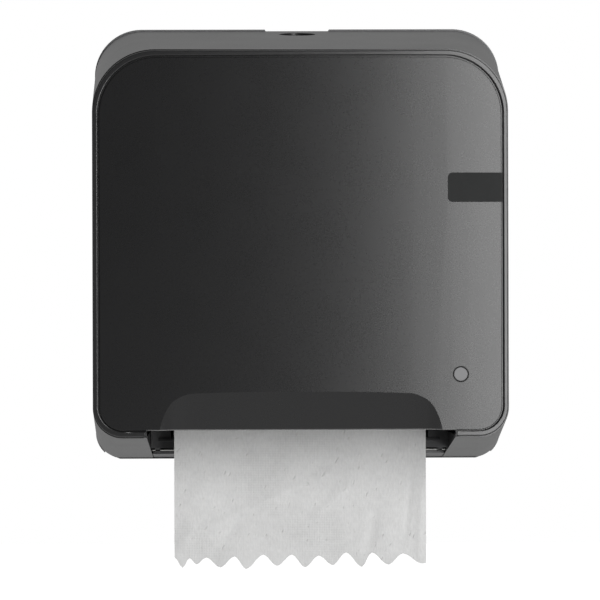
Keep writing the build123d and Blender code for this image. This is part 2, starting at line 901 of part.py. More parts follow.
def cheek_profile():
    """Side outline of a cheek, from the back plate round the drum to the toe at the mouth rod."""
    rear = -plate_thickness
    toe_front = mouth_rod_y - cheek_toe
    toe_low = mouth_rod_z - cheek_toe_depth
    return [
        (rear, cheek_low),
        (rear, cheek_high),
        (tie_y - cheek_margin, cheek_high),
        (pinch_pivot_y - cheek_margin, pinch_pivot_z + cheek_margin),
        drum_point(cheek_ring, cheek_top_angle),
        drum_point(cheek_ring, cheek_front_angle),
        drum_point(cheek_ring, cheek_lower_angle),
        (toe_front, cheek_toe_top),
        (mouth_rod_y - cheek_toe_tip, toe_low),
        (mouth_rod_y + cheek_toe, toe_low),
        (mouth_rod_y + cheek_margin, cheek_low),
    ]


def make_cheek():
    """Right cheek with its foot and the seats of bush, rods and shafts."""
    inner, outer = cheek_inner, cheek_inner + cheek_thickness
    cheek = plate_x(cheek_profile(), inner, outer)
    rear = -plate_thickness
    cheek += block(outer - overlap, outer + cheek_foot_width, rear - cheek_foot_thickness, rear,
                   cheek_foot_low, cheek_foot_high)
    rod = mouth_rod_radius + running_gap
    bores = [
        (drum_y, drum_z, bush_outer_radius + running_gap),
        (guide_rod_y, guide_rod_z, guide_rod_radius + running_gap),
        (tie_y, tie_z, screw_radius + screw_hole_gap),
        (pinch_pivot_y, pinch_pivot_z, pinch_pivot_radius + running_gap),
        (mouth_rod_y, mouth_rod_z, rod),
    ]
    for y, z, radius in bores:
        cheek -= bar_x(y, z, radius, inner - past, outer + past)
    snap = mouth_rod_snap * rod
    cheek -= block(inner - past, outer + past, -reach, mouth_rod_y, mouth_rod_z - snap, mouth_rod_z + snap)
    for x, z in foot_screw_places():
        cheek -= bar_y(x, z, screw_radius + screw_hole_gap, -reach, 0)
    return cheek


def make_cheek_left():
    """Left cheek."""
    return mirrored(make_cheek())


def make_cheek_right():
    """Right cheek, with the pin of the pawl through it."""
    outer = cheek_inner + cheek_thickness
    return make_cheek() - bar_x(pawl_pivot_y, pawl_pivot_z, pawl_pin_radius + running_gap, 0, outer + past)


def make_drum_bush():
    """Flanged bush of the drum axle in the right cheek."""
    inner = cheek_inner - bush_flange_thickness
    outer = cheek_inner + cheek_thickness + bush_tail
    bush = bar_x(drum_y, drum_z, bush_outer_radius, inner, outer)
    bush += bar_x(drum_y, drum_z, bush_flange_radius, inner, cheek_inner)
    return bush - bar_x(drum_y, drum_z, axle_radius + running_gap, inner - past, outer + past)


def make_knife_guide():
    """Fixed guide ring on the right cheek that keeps the knife in; open at the front and bottom."""
    inner = lug_middle() + follower_radius + guide_gap
    start = 90 + guide_start
    return ring_sector_x(drum_y, drum_z, inner + guide_wall, inner, start, guide_sweep,
                         follower_start() - guide_side_gap, cheek_inner)


def lug_middle():
    """Radius of the followers' pins with the knife drawn in."""
    return (lug_inner + lug_outer) / 2


def follower_start():
    """Inner face of the followers, just outside the drum."""
    return drum_half_length + follower_side_gap


def make_web_guide_rod():
    """Steel rod that turns the paper up to the drum."""
    outer = cheek_inner + cheek_thickness
    return bar_x(guide_rod_y, guide_rod_z, guide_rod_radius, -outer, outer)


def make_mouth_rod():
    """Thin bright rod along the rear of the mouth."""
    half = mouth_half_width - mouth_rod_end_gap
    return bar_x(mouth_rod_y, mouth_rod_z, mouth_rod_radius, -half, half)


def make_paper_chute():
    """Curved sheet under the drum, clear of the knife's tips, with an upright guard across the mouth."""
    half = cheek_inner - seat_gap
    sweep = chute_end - chute_start
    outer = chute_radius + chute_thickness
    chute = ring_sector_x(drum_y, drum_z, outer, chute_radius, 90 + chute_start, sweep, -half, half)
    guard_half = mouth_half_width - guard_side_gap
    rear = guard_front + guard_thickness
    guard = block(-guard_half, guard_half, guard_front, rear, guard_low, guard_ear_high)
    guard -= block(-guard_ear_inner, guard_ear_inner, -reach, 0, guard_low, 0) & bar_x(
        drum_y, drum_z, chute_radius + overlap, -reach, reach)
    return chute + guard


def make_cross_tie():
    """Round tie between the cheeks, with a screw at each end."""
    outer = cheek_inner + cheek_thickness
    tie = bar_x(tie_y, tie_z, tie_radius, -cheek_inner, cheek_inner)
    for side in (-1, 1):
        tie += bar_x(tie_y, tie_z, screw_radius, side * (cheek_inner - overlap), side * (outer + overlap))
        tie += bar_x(tie_y, tie_z, screw_head_radius, side * outer, side * (outer + screw_head_height))
    return tie


def make_pinch_pivot_shaft():
    """Shaft on which the pinch arm swings."""
    outer = cheek_inner + cheek_thickness
    return bar_x(pinch_pivot_y, pinch_pivot_z, pinch_pivot_radius, -outer, outer)


def make_frame_screws():
    """Screws that hold the cheeks, the roll arms and the keeper on the back plate."""
    screws = []
    seats = [(place, cheek_foot_thickness) for place in foot_screw_places()]
    seats += [(place, cheek_foot_thickness) for place in arm_screw_places()]
    seats += [(place, keeper_foot_thickness) for place in keeper_screw_places()]
    for (x, z), thickness in seats:
        seat = -plate_thickness - thickness
        face = seat - screw_head_height
        head = bar_y(x, z, screw_head_radius, face, seat)
        arms = [(screw_cross_half, screw_cross_width / 2), (screw_cross_width / 2, screw_cross_half)]
        for across, up in arms:
            head -= block(x - across, x + across, face - past, face + screw_cross_depth, z - up, z + up)
        screws.append(head + bar_y(x, z, screw_radius, seat - overlap, -overlap))
    return screws


def make_hinge_pin():
    """Right pin between the shelf's end wall and the cover's boss."""
    inner = mouth_half_width - shelf_end_gap - shelf_end_wall
    outer = mouth_half_width + mouth_web + hinge_boss_length
    return bar_x(hinge_y, hinge_z, hinge_pin_radius, inner, outer)


# Roll arms and hubs

def arm_blade(root_y):
    """Tapered blade of a roll arm, from its root to the round end at the roll axis."""
    outer = arm_inner + arm_thickness
    corners = [
        (root_y, roll_z - arm_root_half),
        (root_y, roll_z + arm_root_half),
        (roll_y, roll_z + arm_end_radius),
        (roll_y, roll_z - arm_end_radius),
    ]
    return plate_x(corners, arm_inner, outer) + bar_x(roll_y, roll_z, arm_end_radius, arm_inner, outer)


def arm_foot():
    """Flat foot on the back plate at the root of a roll arm."""
    rear = -plate_thickness
    half_height = arm_root_half + arm_foot_rise
    outer = arm_inner + arm_thickness + arm_foot_side
    return block(arm_inner - arm_foot_side, outer, rear - cheek_foot_thickness, rear,
                 roll_z - half_height, roll_z + half_height)


def hub_pin_bar():
    """Fixed pin of the right arm on which a hub turns."""
    tip = hub_flange_inner - hub_plug_length
    return bar_x(roll_y, roll_z, hub_pin_radius, tip + past, arm_inner + overlap)


def make_roll_arm_left():
    """Fixed arm with its foot on the back plate."""
    arm = arm_blade(-plate_thickness) + hub_pin_bar() + arm_foot()
    for x, z in arm_screw_places():
        arm -= bar_y(x, z, screw_radius + screw_hole_gap, -reach, 0)
    return mirrored(arm)


def arm_pin_x():
    """Place across the body of the right arm's pivot pin."""
    return arm_inner + arm_thickness / 2


def make_arm_bracket():
    """Bracket with two lugs that carries the right arm's pivot pin."""
    rear = -plate_thickness
    bracket = arm_foot()
    for side in (-1, 1):
        low = roll_z + side * (arm_root_half + arm_lug_gap)
        high = low + side * arm_lug_height
        left, right = arm_pin_x() - arm_barrel_radius, arm_pin_x() + arm_barrel_radius
        bracket += block(left, right, arm_pin_y, rear, low, high)
        bracket += bar_z(arm_pin_x(), arm_pin_y, arm_barrel_radius, low, high)
    bracket -= bar_z(arm_pin_x(), arm_pin_y, arm_pin_radius + running_gap, -reach, reach)
    for x, z in arm_screw_places():
        bracket -= bar_y(x, z, screw_radius + screw_hole_gap, -reach, 0)
        bracket -= bar_y(x, z, screw_head_radius + screw_head_gap, -reach, rear - cheek_foot_thickness)
    return bracket


def make_arm_pivot_pin():
    """Upright pin of the right arm."""
    half = arm_root_half + arm_lug_gap + arm_lug_height
    return bar_z(arm_pin_x(), arm_pin_y, arm_pin_radius, roll_z - half, roll_z + half)


def make_roll_arm_right():
    """Arm that swings outwards on its pin to free the roll."""
    arm = arm_blade(arm_pin_y) + hub_pin_bar()
    arm += bar_z(arm_pin_x(), arm_pin_y, arm_barrel_radius, roll_z - arm_root_half, roll_z + arm_root_half)
    return arm - bar_z(arm_pin_x(), arm_pin_y, arm_pin_radius + running_gap, -reach, reach)


def make_roll_hub():
    """Right hub: a flange and a tapered plug that enters the core."""
    inner, outer = hub_flange_inner, hub_flange_inner + hub_flange_thickness
    tip = inner - hub_plug_length
    hub = bar_x(roll_y, roll_z, hub_flange_radius, inner, outer)
    hub += cone_x(roll_y, roll_z, hub_plug_tip_radius, hub_plug_root_radius, tip, inner)
    for index in range(hub_hole_count):
        angle = 360 / hub_hole_count * (index + 0.5)
        y, z = polar(roll_y, roll_z, hub_plug_root_radius + hub_hole_offset, angle)
        hub -= bar_x(y, z, hub_hole_radius, inner - past, outer + past)
    return hub - bar_x(roll_y, roll_z, hub_pin_radius + running_gap, tip - past, outer + past)


def make_towel_roll():
    """Wound paper on the core."""
    half = paper_half_width
    return tube_x(roll_y, roll_z, roll_radius, core_outer_radius + running_gap, -half, half)


def make_roll_core():
    """Cardboard core of the roll."""
    half = paper_half_width
    return tube_x(roll_y, roll_z, core_outer_radius, core_outer_radius - core_wall, -half, half)


# Paper

def web_tangents():
    """Unit normals, in the side view, of the paper's two straight runs."""
    thick = paper_thickness / 2
    roll_mid = roll_radius + paper_gap + thick
    rod_mid = guide_rod_radius + paper_gap + thick
    drum_mid = drum_radius + paper_gap + thick
    away_y, away_z = roll_y - guide_rod_y, roll_z - guide_rod_z
    far = math.hypot(away_y, away_z)
    first = math.asin((rod_mid - roll_mid) / far) + math.atan2(-away_y, away_z)
    near_y, near_z = guide_rod_y - drum_y, guide_rod_z - drum_z
    near = math.hypot(near_y, near_z)
    second = math.atan2(near_z, near_y) - math.acos(-(rod_mid + drum_mid) / near)
    return math.degrees(first), math.degrees(second)


def make_towel_web():
    """Paper from the roll, under the rod, over the drum and down to the mouth."""
    first, second = web_tangents()
    half = paper_half_width

    def at(y, z):
        return (-half, y, z)

    sides = []
    for rod_side in (True, False):
        extra = 0 if rod_side else paper_thickness
        roll_r = roll_radius + paper_gap + extra
        rod_r = guide_rod_radius + paper_gap + extra
        drum_r = drum_radius + paper_gap + paper_thickness - extra
        start = polar(roll_y, roll_z, roll_r, first)
        rod_in = polar(guide_rod_y, guide_rod_z, rod_r, first)
        rod_mid = polar(guide_rod_y, guide_rod_z, rod_r, (first + second) / 2)
        rod_out = polar(guide_rod_y, guide_rod_z, rod_r, second)
        drum_in = polar(drum_y, drum_z, drum_r, second + 180)
        drum_mid = polar(drum_y, drum_z, drum_r, (second + 360) / 2)
        drum_out = polar(drum_y, drum_z, drum_r, 180)
        end = (drum_out[0], tail_split_z)
        edges = [
            Line(at(*start), at(*rod_in)),
            ThreePointArc(at(*rod_in), at(*rod_mid), at(*rod_out)),
            Line(at(*rod_out), at(*drum_in)),
            ThreePointArc(at(*drum_in), at(*drum_mid), at(*drum_out)),
            Line(at(*drum_out), at(*end)),
        ]
        sides.append((start, end, edges))
    (start_a, end_a, edges_a), (start_b, end_b, edges_b) = sides
    closing = [Line(at(*start_a), at(*start_b)), Line(at(*end_a), at(*end_b))]
    return extrude(make_face(edges_a + edges_b + closing), amount=2 * half, dir=(1, 0, 0))


def tail_section(z, fold, lean):
    """Level section of the hanging paper: shallow folds side by side."""
    middle = drum_y - drum_radius - paper_gap - paper_thickness / 2 - lean
    half = tail_thickness / 2
    width = 2 * paper_half_width / tail_fold_count
    edges = []
    for offset in (-half, half):
        for index in range(tail_fold_count):
            x0 = -paper_half_width + index * width
            vary = (1 - tail_fold_share) * math.cos(tail_fold_turn * index)
            bulge = fold * (1 if index % 2 else -1) * (tail_fold_share + vary)
            y = middle + offset
            edges.append(ThreePointArc((x0, y, z), (x0 + width / 2, y + bulge, z), (x0 + width, y, z)))
    for side in (-1, 1):
        x = side * paper_half_width
        edges.append(Line((x, middle - half, z), (x, middle + half, z)))
    return make_face(edges)


def tooth_prism(low_z, high_z, y0, y1):
    """Prism with a zigzag lower edge: points at low_z, valleys at high_z."""
    count = math.ceil(paper_half_width / tooth_pitch) + 1
    top = high_z + reach
    points = [(-count * tooth_pitch, y0, top)]
    for index in range(-count, count):
        points.append((index * tooth_pitch, y0, high_z))
        points.append(((index + 0.5) * tooth_pitch, y0, low_z))
    points.append((count * tooth_pitch, y0, high_z))
    points.append((count * tooth_pitch, y0, top))
    return extrude(make_face(Polyline(*points, close=True)), amount=y1 - y0, dir=(0, 1, 0))


def make_towel_tail():
    """Hanging end of the paper, with shallow folds and a zigzag cut."""
    sections = [
        tail_section(tail_split_z, tail_top_fold, 0),
        tail_section(tail_mid_z, tail_fold_depth / 2, 0),
        tail_section(tail_tip_z - past, tail_fold_depth, tail_lean),
    ]
    tail = loft(sections, ruled=True)
    middle = drum_y - drum_radius
    return tail & tooth_prism(tail_tip_z, tail_tip_z + tooth_depth, middle - front_past, middle + front_past)


# Cutting drum

def turned(shape):
    """Turns a piece made with the knife straight down to the knife's real angle."""
    return Pos(0, drum_y, drum_z) * Rot(knife_angle - 180, 0, 0) * Pos(0, -drum_y, -drum_z) * shape


def drum_box(x0, x1, across, inner, outer):
    """Block along the knife's line: across is its half width and inner and outer its radii."""
    return block(x0, x1, drum_y - across, drum_y + across, drum_z - outer, drum_z - inner)


def drum_screw_tools(radius_gap, rise):
    """Radial screws near both drum ends, grown by radius_gap, with heads raised by rise."""
    tools = []
    x = drum_half_length - drum_end_thickness / 2
    for side in (-1, 1):
        for across in (-1, 1):
            outer = drum_y + across * drum_radius
            head = outer - across * drum_screw_head_depth
            shaft_end = outer - across * drum_screw_length
            tool = bar_y(side * x, drum_z, drum_screw_radius + radius_gap, head, shaft_end)
            tool += bar_y(side * x, drum_z, drum_screw_head + radius_gap, outer + across * rise, head)
            tools.append(tool)
    return tools


def drum_shell(rear_side):
    """Half of the drum's skin, on one side of the knife slot."""
    shell = tube_x(drum_y, drum_z, drum_radius, drum_radius - drum_wall, -drum_half_length, drum_half_length)
    shell -= drum_box(-reach, reach, drum_slot_width / 2, 0, reach)
    for x in grip_places:
        half = grip_width / 2 + running_gap
        shell -= tube_x(drum_y, drum_z, drum_radius + far_past, drum_radius - grip_depth, x - half, x + half)
    for tool in drum_screw_tools(running_gap, past):
        shell -= tool
    side = 1 if rear_side else -1
    far = drum_y + side * reach
    shell &= block(-reach, reach, min(drum_y, far), max(drum_y, far), -reach * 2, reach * 2)
    return turned(shell)


def make_drum_grips():
    """Rubber bands let into the drum, broken at the knife slot."""
    grips = []
    for x in grip_places:
        half = grip_width / 2
        inner = drum_radius - grip_depth + running_gap
        band = tube_x(drum_y, drum_z, inner + grip_thickness, inner, x - half, x + half)
        grips.append(turned(band - drum_box(-reach, reach, drum_slot_width / 2, 0, reach)))
    return grips


def make_drum_end():
    """Right end disc with the slot that guides the knife carrier."""
    disc_radius = drum_radius - drum_wall - running_gap
    inner = drum_half_length - drum_end_thickness
    disc = bar_x(drum_y, drum_z, disc_radius, inner, drum_half_length)
    outer = drum_half_length + past
    slot_inner = lug_inner - lug_end_gap
    slot_outer = lug_outer + knife_travel + 2 * lug_end_gap
    disc -= drum_box(inner - past, outer, lug_half_width + lug_side_gap, slot_inner, slot_outer)
    for tool in drum_screw_tools(running_gap, past):
        disc -= tool
    for angle in end_hole_angles:
        y, z = polar(drum_y, drum_z, end_hole_circle, angle)
        disc -= bar_x(y, z, end_hole_radius, inner - past, outer)
    return turned(disc)


def make_drum_axle(length):
    """Right stub axle with its flange on the drum end."""
    start = drum_half_length
    axle = bar_x(drum_y, drum_z, axle_radius, start, start + length)
    return axle + bar_x(drum_y, drum_z, axle_flange_radius, start, start + axle_flange_thickness)


def make_drum_screws():
    """Radial screws of the drum's two halves."""
    return [turned(tool) for tool in drum_screw_tools(0, 0)]


def side_wheel_start():
    """Inner face of the wheels outside the cheeks."""
    return cheek_inner + cheek_thickness + bush_tail + crank_gap


def crank_direction():
    """Standard angle from the drum axis to the spring post."""
    return math.degrees(math.atan2(spring_post_z - drum_z, spring_post_y - drum_y))


def make_crank_disc():
    """Crank on the left end of the axle."""
    inner = -side_wheel_start()
    outer = inner - crank_thickness
    disc = bar_x(drum_y, drum_z, crank_radius, outer, inner)
    y, z = polar(drum_y, drum_z, crank_pin_circle, crank_direction())
    disc -= bar_x(y, z, crank_pin_radius, outer - past, inner + past)
    return disc - bar_x(drum_y, drum_z, axle_radius, outer - past, inner + past)


def make_crank_pin():
    """Pin on which the main spring pulls."""
    start = side_wheel_start()
    y, z = polar(drum_y, drum_z, crank_pin_circle, crank_direction())
    end = -start - crank_thickness - crank_pin_length
    pin = bar_x(y, z, crank_pin_radius, end, -start)
    return pin + bar_x(y, z, crank_pin_radius + post_head, end - post_head, end)


def make_spring_bracket():
    """Bracket on the left cheek with the post of the main spring."""
    inner = -cheek_inner - cheek_thickness
    outer = inner - bracket_thickness
    y, z = spring_post_y, spring_post_z
    corners = [
        (y - bracket_half, z - bracket_half),
        (y + bracket_half, z - bracket_half),
        (y + bracket_half, z + bracket_rear_rise),
        (y, z + bracket_top),
        (y - bracket_half, z - bracket_front_drop),
    ]
    post_end = outer - spring_post_length
    bracket = plate_x(corners, outer, inner)
    bracket += bar_x(y, z, spring_post_radius, post_end, outer + past)
    return bracket + bar_x(y, z, spring_post_radius + post_head, post_end - post_head, post_end)


def biarc(start, start_way, end, end_way):
    """Two tangent arcs from start to end with given directions."""
    chord = Vector(*end) - Vector(*start)
    way_a = Vector(*start_way).normalized()
    way_b = Vector(*end_way).normalized()
    total = way_a + way_b
    along = chord.dot(total)
    square = 2 * (1 - way_a.dot(way_b))
    reach_out = (-along + math.sqrt(along ** 2 + square * chord.dot(chord))) / square
    joint_a = Vector(*start) + way_a * reach_out
    joint_b = Vector(*end) - way_b * reach_out
    joint = (joint_a + joint_b) * 0.5
    first = TangentArc(Vector(*start), joint, tangent=way_a)
    second_way = (joint_b - joint_a).normalized()
    second = TangentArc(joint, Vector(*end), tangent=second_way)
    return [first, second]


def spring_line():
    """Ends of the spring: the crank pin and the post, with its plane across the body."""
    pin_y, pin_z = polar(drum_y, drum_z, crank_pin_circle, crank_direction())
    x = -(side_wheel_start() + crank_thickness + crank_pin_length / 2)
    return x, (pin_y, pin_z), (spring_post_y, spring_post_z)


def make_main_spring():
    """Tension spring: close curls with a straight leg and a loop at each end."""
    x, pin, post = spring_line()
    away = Vector(0, post[0] - pin[0], post[1] - pin[1])
    length = away.length
    axis = away.normalized()
    side = Vector(1, 0, 0)
    third = axis.cross(side)
    coil_length = spring_pitch * spring_turns
    start_along = (length - coil_length) / 2
    centre = Vector(x, pin[0], pin[1])
    steps = quarters * spring_turns

    def point(step):
        angle = 2 * math.pi / quarters * step
        along = start_along + spring_pitch * step / quarters
        return centre + axis * along + (side * math.cos(angle) + third * math.sin(angle)) * spring_coil_radius

    def way(step):
        angle = 2 * math.pi / quarters * step
        turn = (third * math.cos(angle) - side * math.sin(angle)) * (2 * math.pi * spring_coil_radius)
        return (turn + axis * spring_pitch).normalized()

    edges = []
    for step in range(steps):
        edges += biarc(point(step), way(step), point(step + 1), way(step + 1))
    path = Wire(edges)
    section = Plane(origin=point(0), z_dir=way(0)) * Circle(spring_wire / 2)
    coil = sweep(section, path=path)
    report_spring_gap(point, steps)
    legs = []
    for along, direction, radius in ((0, 1, crank_pin_radius), (length, -1, spring_post_radius)):
        eye = centre + axis * along
        loop_radius = radius + spring_hook_gap + spring_wire / 2
        plane = Plane(origin=eye, x_dir=axis, z_dir=(1, 0, 0))
        loop = plane * Torus(loop_radius, spring_wire / 2)
        bar_start = eye + axis * direction * loop_radius
        bar_end = centre + axis * (start_along if direction > 0 else start_along + coil_length)
        bar_plane = Plane(origin=bar_start, z_dir=(bar_end - bar_start).normalized())
        leg_length = (bar_end - bar_start).length
        legs.append(loop + extrude(bar_plane * Circle(spring_wire / 2), amount=leg_length))
        disc_plane = Plane(origin=bar_end, z_dir=side)
        legs.append(extrude(disc_plane * Circle(spring_wire / 2), amount=spring_coil_radius))
    spring = coil
    for leg in legs:
        spring += leg
    return spring


def report_spring_gap(point, steps):
    """Prints the least gap between neighbouring curls, measured on points of the wire's middle."""
    least = min((point(step) - point(step + quarters)).length for step in range(steps - quarters))
    print("main spring: least gap between curls", round(least - spring_wire, 3), "mm")


def make_ratchet_wheel():
    """Toothed wheel on the right end of the axle."""
    start = side_wheel_start()
    points = []
    for tooth in range(ratchet_teeth):
        angle = 360 / ratchet_teeth * tooth
        points.append(polar(drum_y, drum_z, ratchet_tip_radius, angle))
        points.append(polar(drum_y, drum_z, ratchet_root_radius, angle + ratchet_flank_deg))
    wheel = plate_x(points, start, start + ratchet_thickness)
    return wheel - bar_x(drum_y, drum_z, axle_radius, start - past, start + ratchet_thickness + past)


def make_pawl_pin():
    """Pin of the pawl in the right cheek."""
    inner = cheek_inner
    start = side_wheel_start()
    end = start + ratchet_thickness + past
    return bar_x(pawl_pivot_y, pawl_pivot_z, pawl_pin_radius, inner, end)


def make_pawl():
    """Lever that stops the ratchet wheel from turning back."""
    start = side_wheel_start()
    end = start + ratchet_thickness
    tip_y, tip_z = polar(drum_y, drum_z, ratchet_tip_radius + pawl_tip_gap, pawl_tip_angle)
    boss = pawl_pin_radius + pawl_half_width
    root = boss - pawl_root_inset
    corners = [
        (tip_y, tip_z),
        (tip_y + pawl_tip_length, tip_z + pawl_tip_slope),
        (pawl_pivot_y, pawl_pivot_z - root),
        (pawl_pivot_y, pawl_pivot_z + root),
        (tip_y + past, tip_z + pawl_tip_height),
    ]
    pawl = plate_x(corners, start, end) + bar_x(pawl_pivot_y, pawl_pivot_z, boss, start, end)
    return pawl - bar_x(pawl_pivot_y, pawl_pivot_z, pawl_pin_radius + running_gap, start - past, end + past)


def make_feed_knob():
    """Fluted knob for feeding paper by hand."""
    start = side_wheel_start() + ratchet_thickness + knob_gap
    end = start + knob_length
    knob = bar_x(drum_y, drum_z, knob_radius, start, end)
    knob = fillet(knob.edges().group_by(Axis.X)[-1], knob_edge_radius)
    for index in range(knob_flutes):
        y, z = polar(drum_y, drum_z, knob_radius + knob_flute_offset, 360 / knob_flutes * index)
        knob -= bar_x(y, z, knob_flute_radius, start + knob_face, end + past)
    return knob - bar_x(drum_y, drum_z, axle_radius, start - past, end - knob_face)


# Knife

def make_knife_carrier():
    """Bar inside the drum with a guide lug and a pin at each end."""
    half = carrier_half_length
    bar = drum_box(-half, half, carrier_half_thickness, carrier_inner, carrier_outer)
    lug_start = half - past
    lug_end = drum_half_length + lug_stand_out
    pin_end = follower_start() + follower_width + lug_stand_out
    middle = drum_z - lug_middle()
    for side in (-1, 1):
        bar += drum_box(side * lug_start, side * lug_end, lug_half_width, lug_inner, lug_outer)
        bar += bar_x(drum_y, middle, follower_pin_radius, side * (lug_end - past), side * pin_end)
    blade_half = blade_half_width + past
    bar -= drum_box(-blade_half, blade_half, blade_thickness / 2, blade_base_radius, carrier_outer + past)
    return turned(bar)


def make_knife_blade():
    """Zigzag blade clamped in the carrier."""
    half = blade_half_width
    blade = drum_box(-half, half, blade_thickness / 2, blade_base_radius, blade_tip_radius)
    tip = drum_z - blade_tip_radius
    return turned(blade & tooth_prism(tip, tip + tooth_depth, drum_y - far_past, drum_y + far_past))


def make_knife_followers():
    """Small rollers on the carrier's pins."""
    rollers = []
    start = follower_start()
    end = start + follower_width
    middle = drum_z - lug_middle()
    for side in (-1, 1):
        roller = tube_x(drum_y, middle, follower_radius, follower_pin_radius, side * start, side * end)
        rollers.append(turned(roller))
    return rollers


# Pinch roller

def pinch_centre():
    """Axis of the pinch roller, one paper and its gaps above the drum."""
    distance = drum_radius + paper_gap + paper_thickness + pinch_gap + pinch_radius
    return drum_point(distance, pinch_angle)


def make_pinch_roller_shaft():
    """Steel shaft of the pinch roller."""
    y, z = pinch_centre()
    half = pinch_arm_inner + pinch_arm_thickness
    return bar_x(y, z, pinch_shaft_radius, -half, half)


def make_pinch_sleeves():
    """Rubber sleeves on the pinch shaft."""
    y, z = pinch_centre()
    half = pinch_sleeve_length / 2
    return [tube_x(y, z, pinch_radius, pinch_shaft_radius, x - half, x + half) for x in pinch_sleeve_places]


def make_pinch_arm():
    """Two side levers and a cross bar that press the pinch roller on the drum."""
    y, z = pinch_centre()
    inner, outer = pinch_arm_inner, pinch_arm_inner + pinch_arm_thickness
    half = pinch_arm_half_width
    end_half = half - pinch_arm_taper
    away = math.degrees(math.atan2(z - pinch_pivot_z, y - pinch_pivot_y))
    corners = [
        polar(pinch_pivot_y, pinch_pivot_z, half, away + 90),
        polar(pinch_pivot_y, pinch_pivot_z, half, away - 90),
        polar(y, z, end_half, away - 90),
        polar(y, z, end_half, away + 90),
    ]
    lever = plate_x(corners, inner, outer)
    lever += bar_x(pinch_pivot_y, pinch_pivot_z, half, inner, outer)
    lever += bar_x(y, z, end_half, inner, outer)
    pivot_bore = pinch_pivot_radius + running_gap
    lever -= bar_x(pinch_pivot_y, pinch_pivot_z, pivot_bore, inner - past, outer + past)
    lever -= bar_x(y, z, pinch_shaft_radius + running_gap, inner - past, outer + past)
    cross_y = (pinch_pivot_y + y) / 2 + pinch_bar_offset
    cross_z = (pinch_pivot_z + z) / 2
    arm = lever + mirrored(lever)
    return arm + bar_x(cross_y, cross_z, pinch_bar_radius, -inner - overlap, inner + overlap)


# Sub-parts

def left_axle_length():
    """Length of the left stub axle, to the far face of the crank."""
    return side_wheel_start() + crank_thickness - drum_half_length


def right_axle_length():
    """Length of the right stub axle, into the knob."""
    knob_start = side_wheel_start() + ratchet_thickness + knob_gap
    return knob_start + knob_length - knob_face - past - drum_half_length


nodes = {
    "cover_shell": make_cover_shell,
    "front_panel": make_front_panel,
    "panel_clips": make_panel_clips,
    "badge_plate": make_badge_plate,
    "window_bezel": make_window_bezel,
    "window_lens": make_window_lens,
    "lock_housing": make_lock_housing,
    "lock_barrel": make_lock_barrel,
    "lock_cam": make_lock_cam,
    "lock_screw": make_lock_screw,
    "lock_keeper": make_lock_keeper,
    "back_plate": make_back_plate,
    "cheek_left": make_cheek_left,
    "cheek_right": make_cheek_right,
    "drum_bush_left": lambda: mirrored(make_drum_bush()),
    "drum_bush_right": make_drum_bush,
    "knife_guide_left": lambda: mirrored(make_knife_guide()),
    "knife_guide_right": make_knife_guide,
    "web_guide_rod": make_web_guide_rod,
    "mouth_rod": make_mouth_rod,
    "paper_chute": make_paper_chute,
    "cross_tie": make_cross_tie,
    "pinch_pivot_shaft": make_pinch_pivot_shaft,
    "frame_screws": make_frame_screws,
    "hinge_pin_left": lambda: mirrored(make_hinge_pin()),
    "hinge_pin_right": make_hinge_pin,
    "roll_arm_left": make_roll_arm_left,
    "arm_bracket": make_arm_bracket,
    "arm_pivot_pin": make_arm_pivot_pin,
    "roll_arm_right": make_roll_arm_right,
    "roll_hub_left": lambda: mirrored(make_roll_hub()),
    "roll_hub_right": make_roll_hub,
    "towel_roll": make_towel_roll,
    "roll_core": make_roll_core,
    "towel_web": make_towel_web,
    "towel_tail": make_towel_tail,
    "drum_shell_rear": lambda: drum_shell(True),
    "drum_shell_front": lambda: drum_shell(False),
    "drum_grips": make_drum_grips,
    "drum_end_left": lambda: mirrored(make_drum_end()),
    "drum_end_right": make_drum_end,
    "drum_axle_left": lambda: mirrored(make_drum_axle(left_axle_length())),
    "drum_axle_right": lambda: make_drum_axle(right_axle_length()),
    "drum_screws": make_drum_screws,
    "crank_disc": make_crank_disc,
    "crank_pin": make_crank_pin,
    "spring_bracket": make_spring_bracket,
    "main_spring": make_main_spring,
    "ratchet_wheel": make_ratchet_wheel,
    "pawl_pin": make_pawl_pin,
    "pawl": make_pawl,
    "feed_knob": make_feed_knob,
    "knife_carrier": make_knife_carrier,
    "knife_blade": make_knife_blade,
    "knife_followers": make_knife_followers,
    "pinch_arm": make_pinch_arm,
    "pinch_roller_shaft": make_pinch_roller_shaft,
    "pinch_sleeves": make_pinch_sleeves,
}


def main():
    """Writes one file for each sub-part."""
    os.makedirs("parts", exist_ok=True)
    for name, make in nodes.items():
        shape = make()
        if isinstance(shape, list):
            shape = Compound(children=[solid for piece in shape for solid in piece.solids()])
        export_step(shape, os.path.join("parts", name + ".step"))


if __name__ == "__main__":
    main()
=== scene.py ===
"""Dresses the wall-mounted paper towel dispenser: finishes, paper, rubber and the studio round it.

Lengths are in metres: X points right, +Y to the wall and Z up.
"""

from __future__ import annotations

import json
import logging
import math
import random
from dataclasses import dataclass, field
from enum import Enum
from typing import Sequence

import bpy
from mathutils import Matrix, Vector, noise

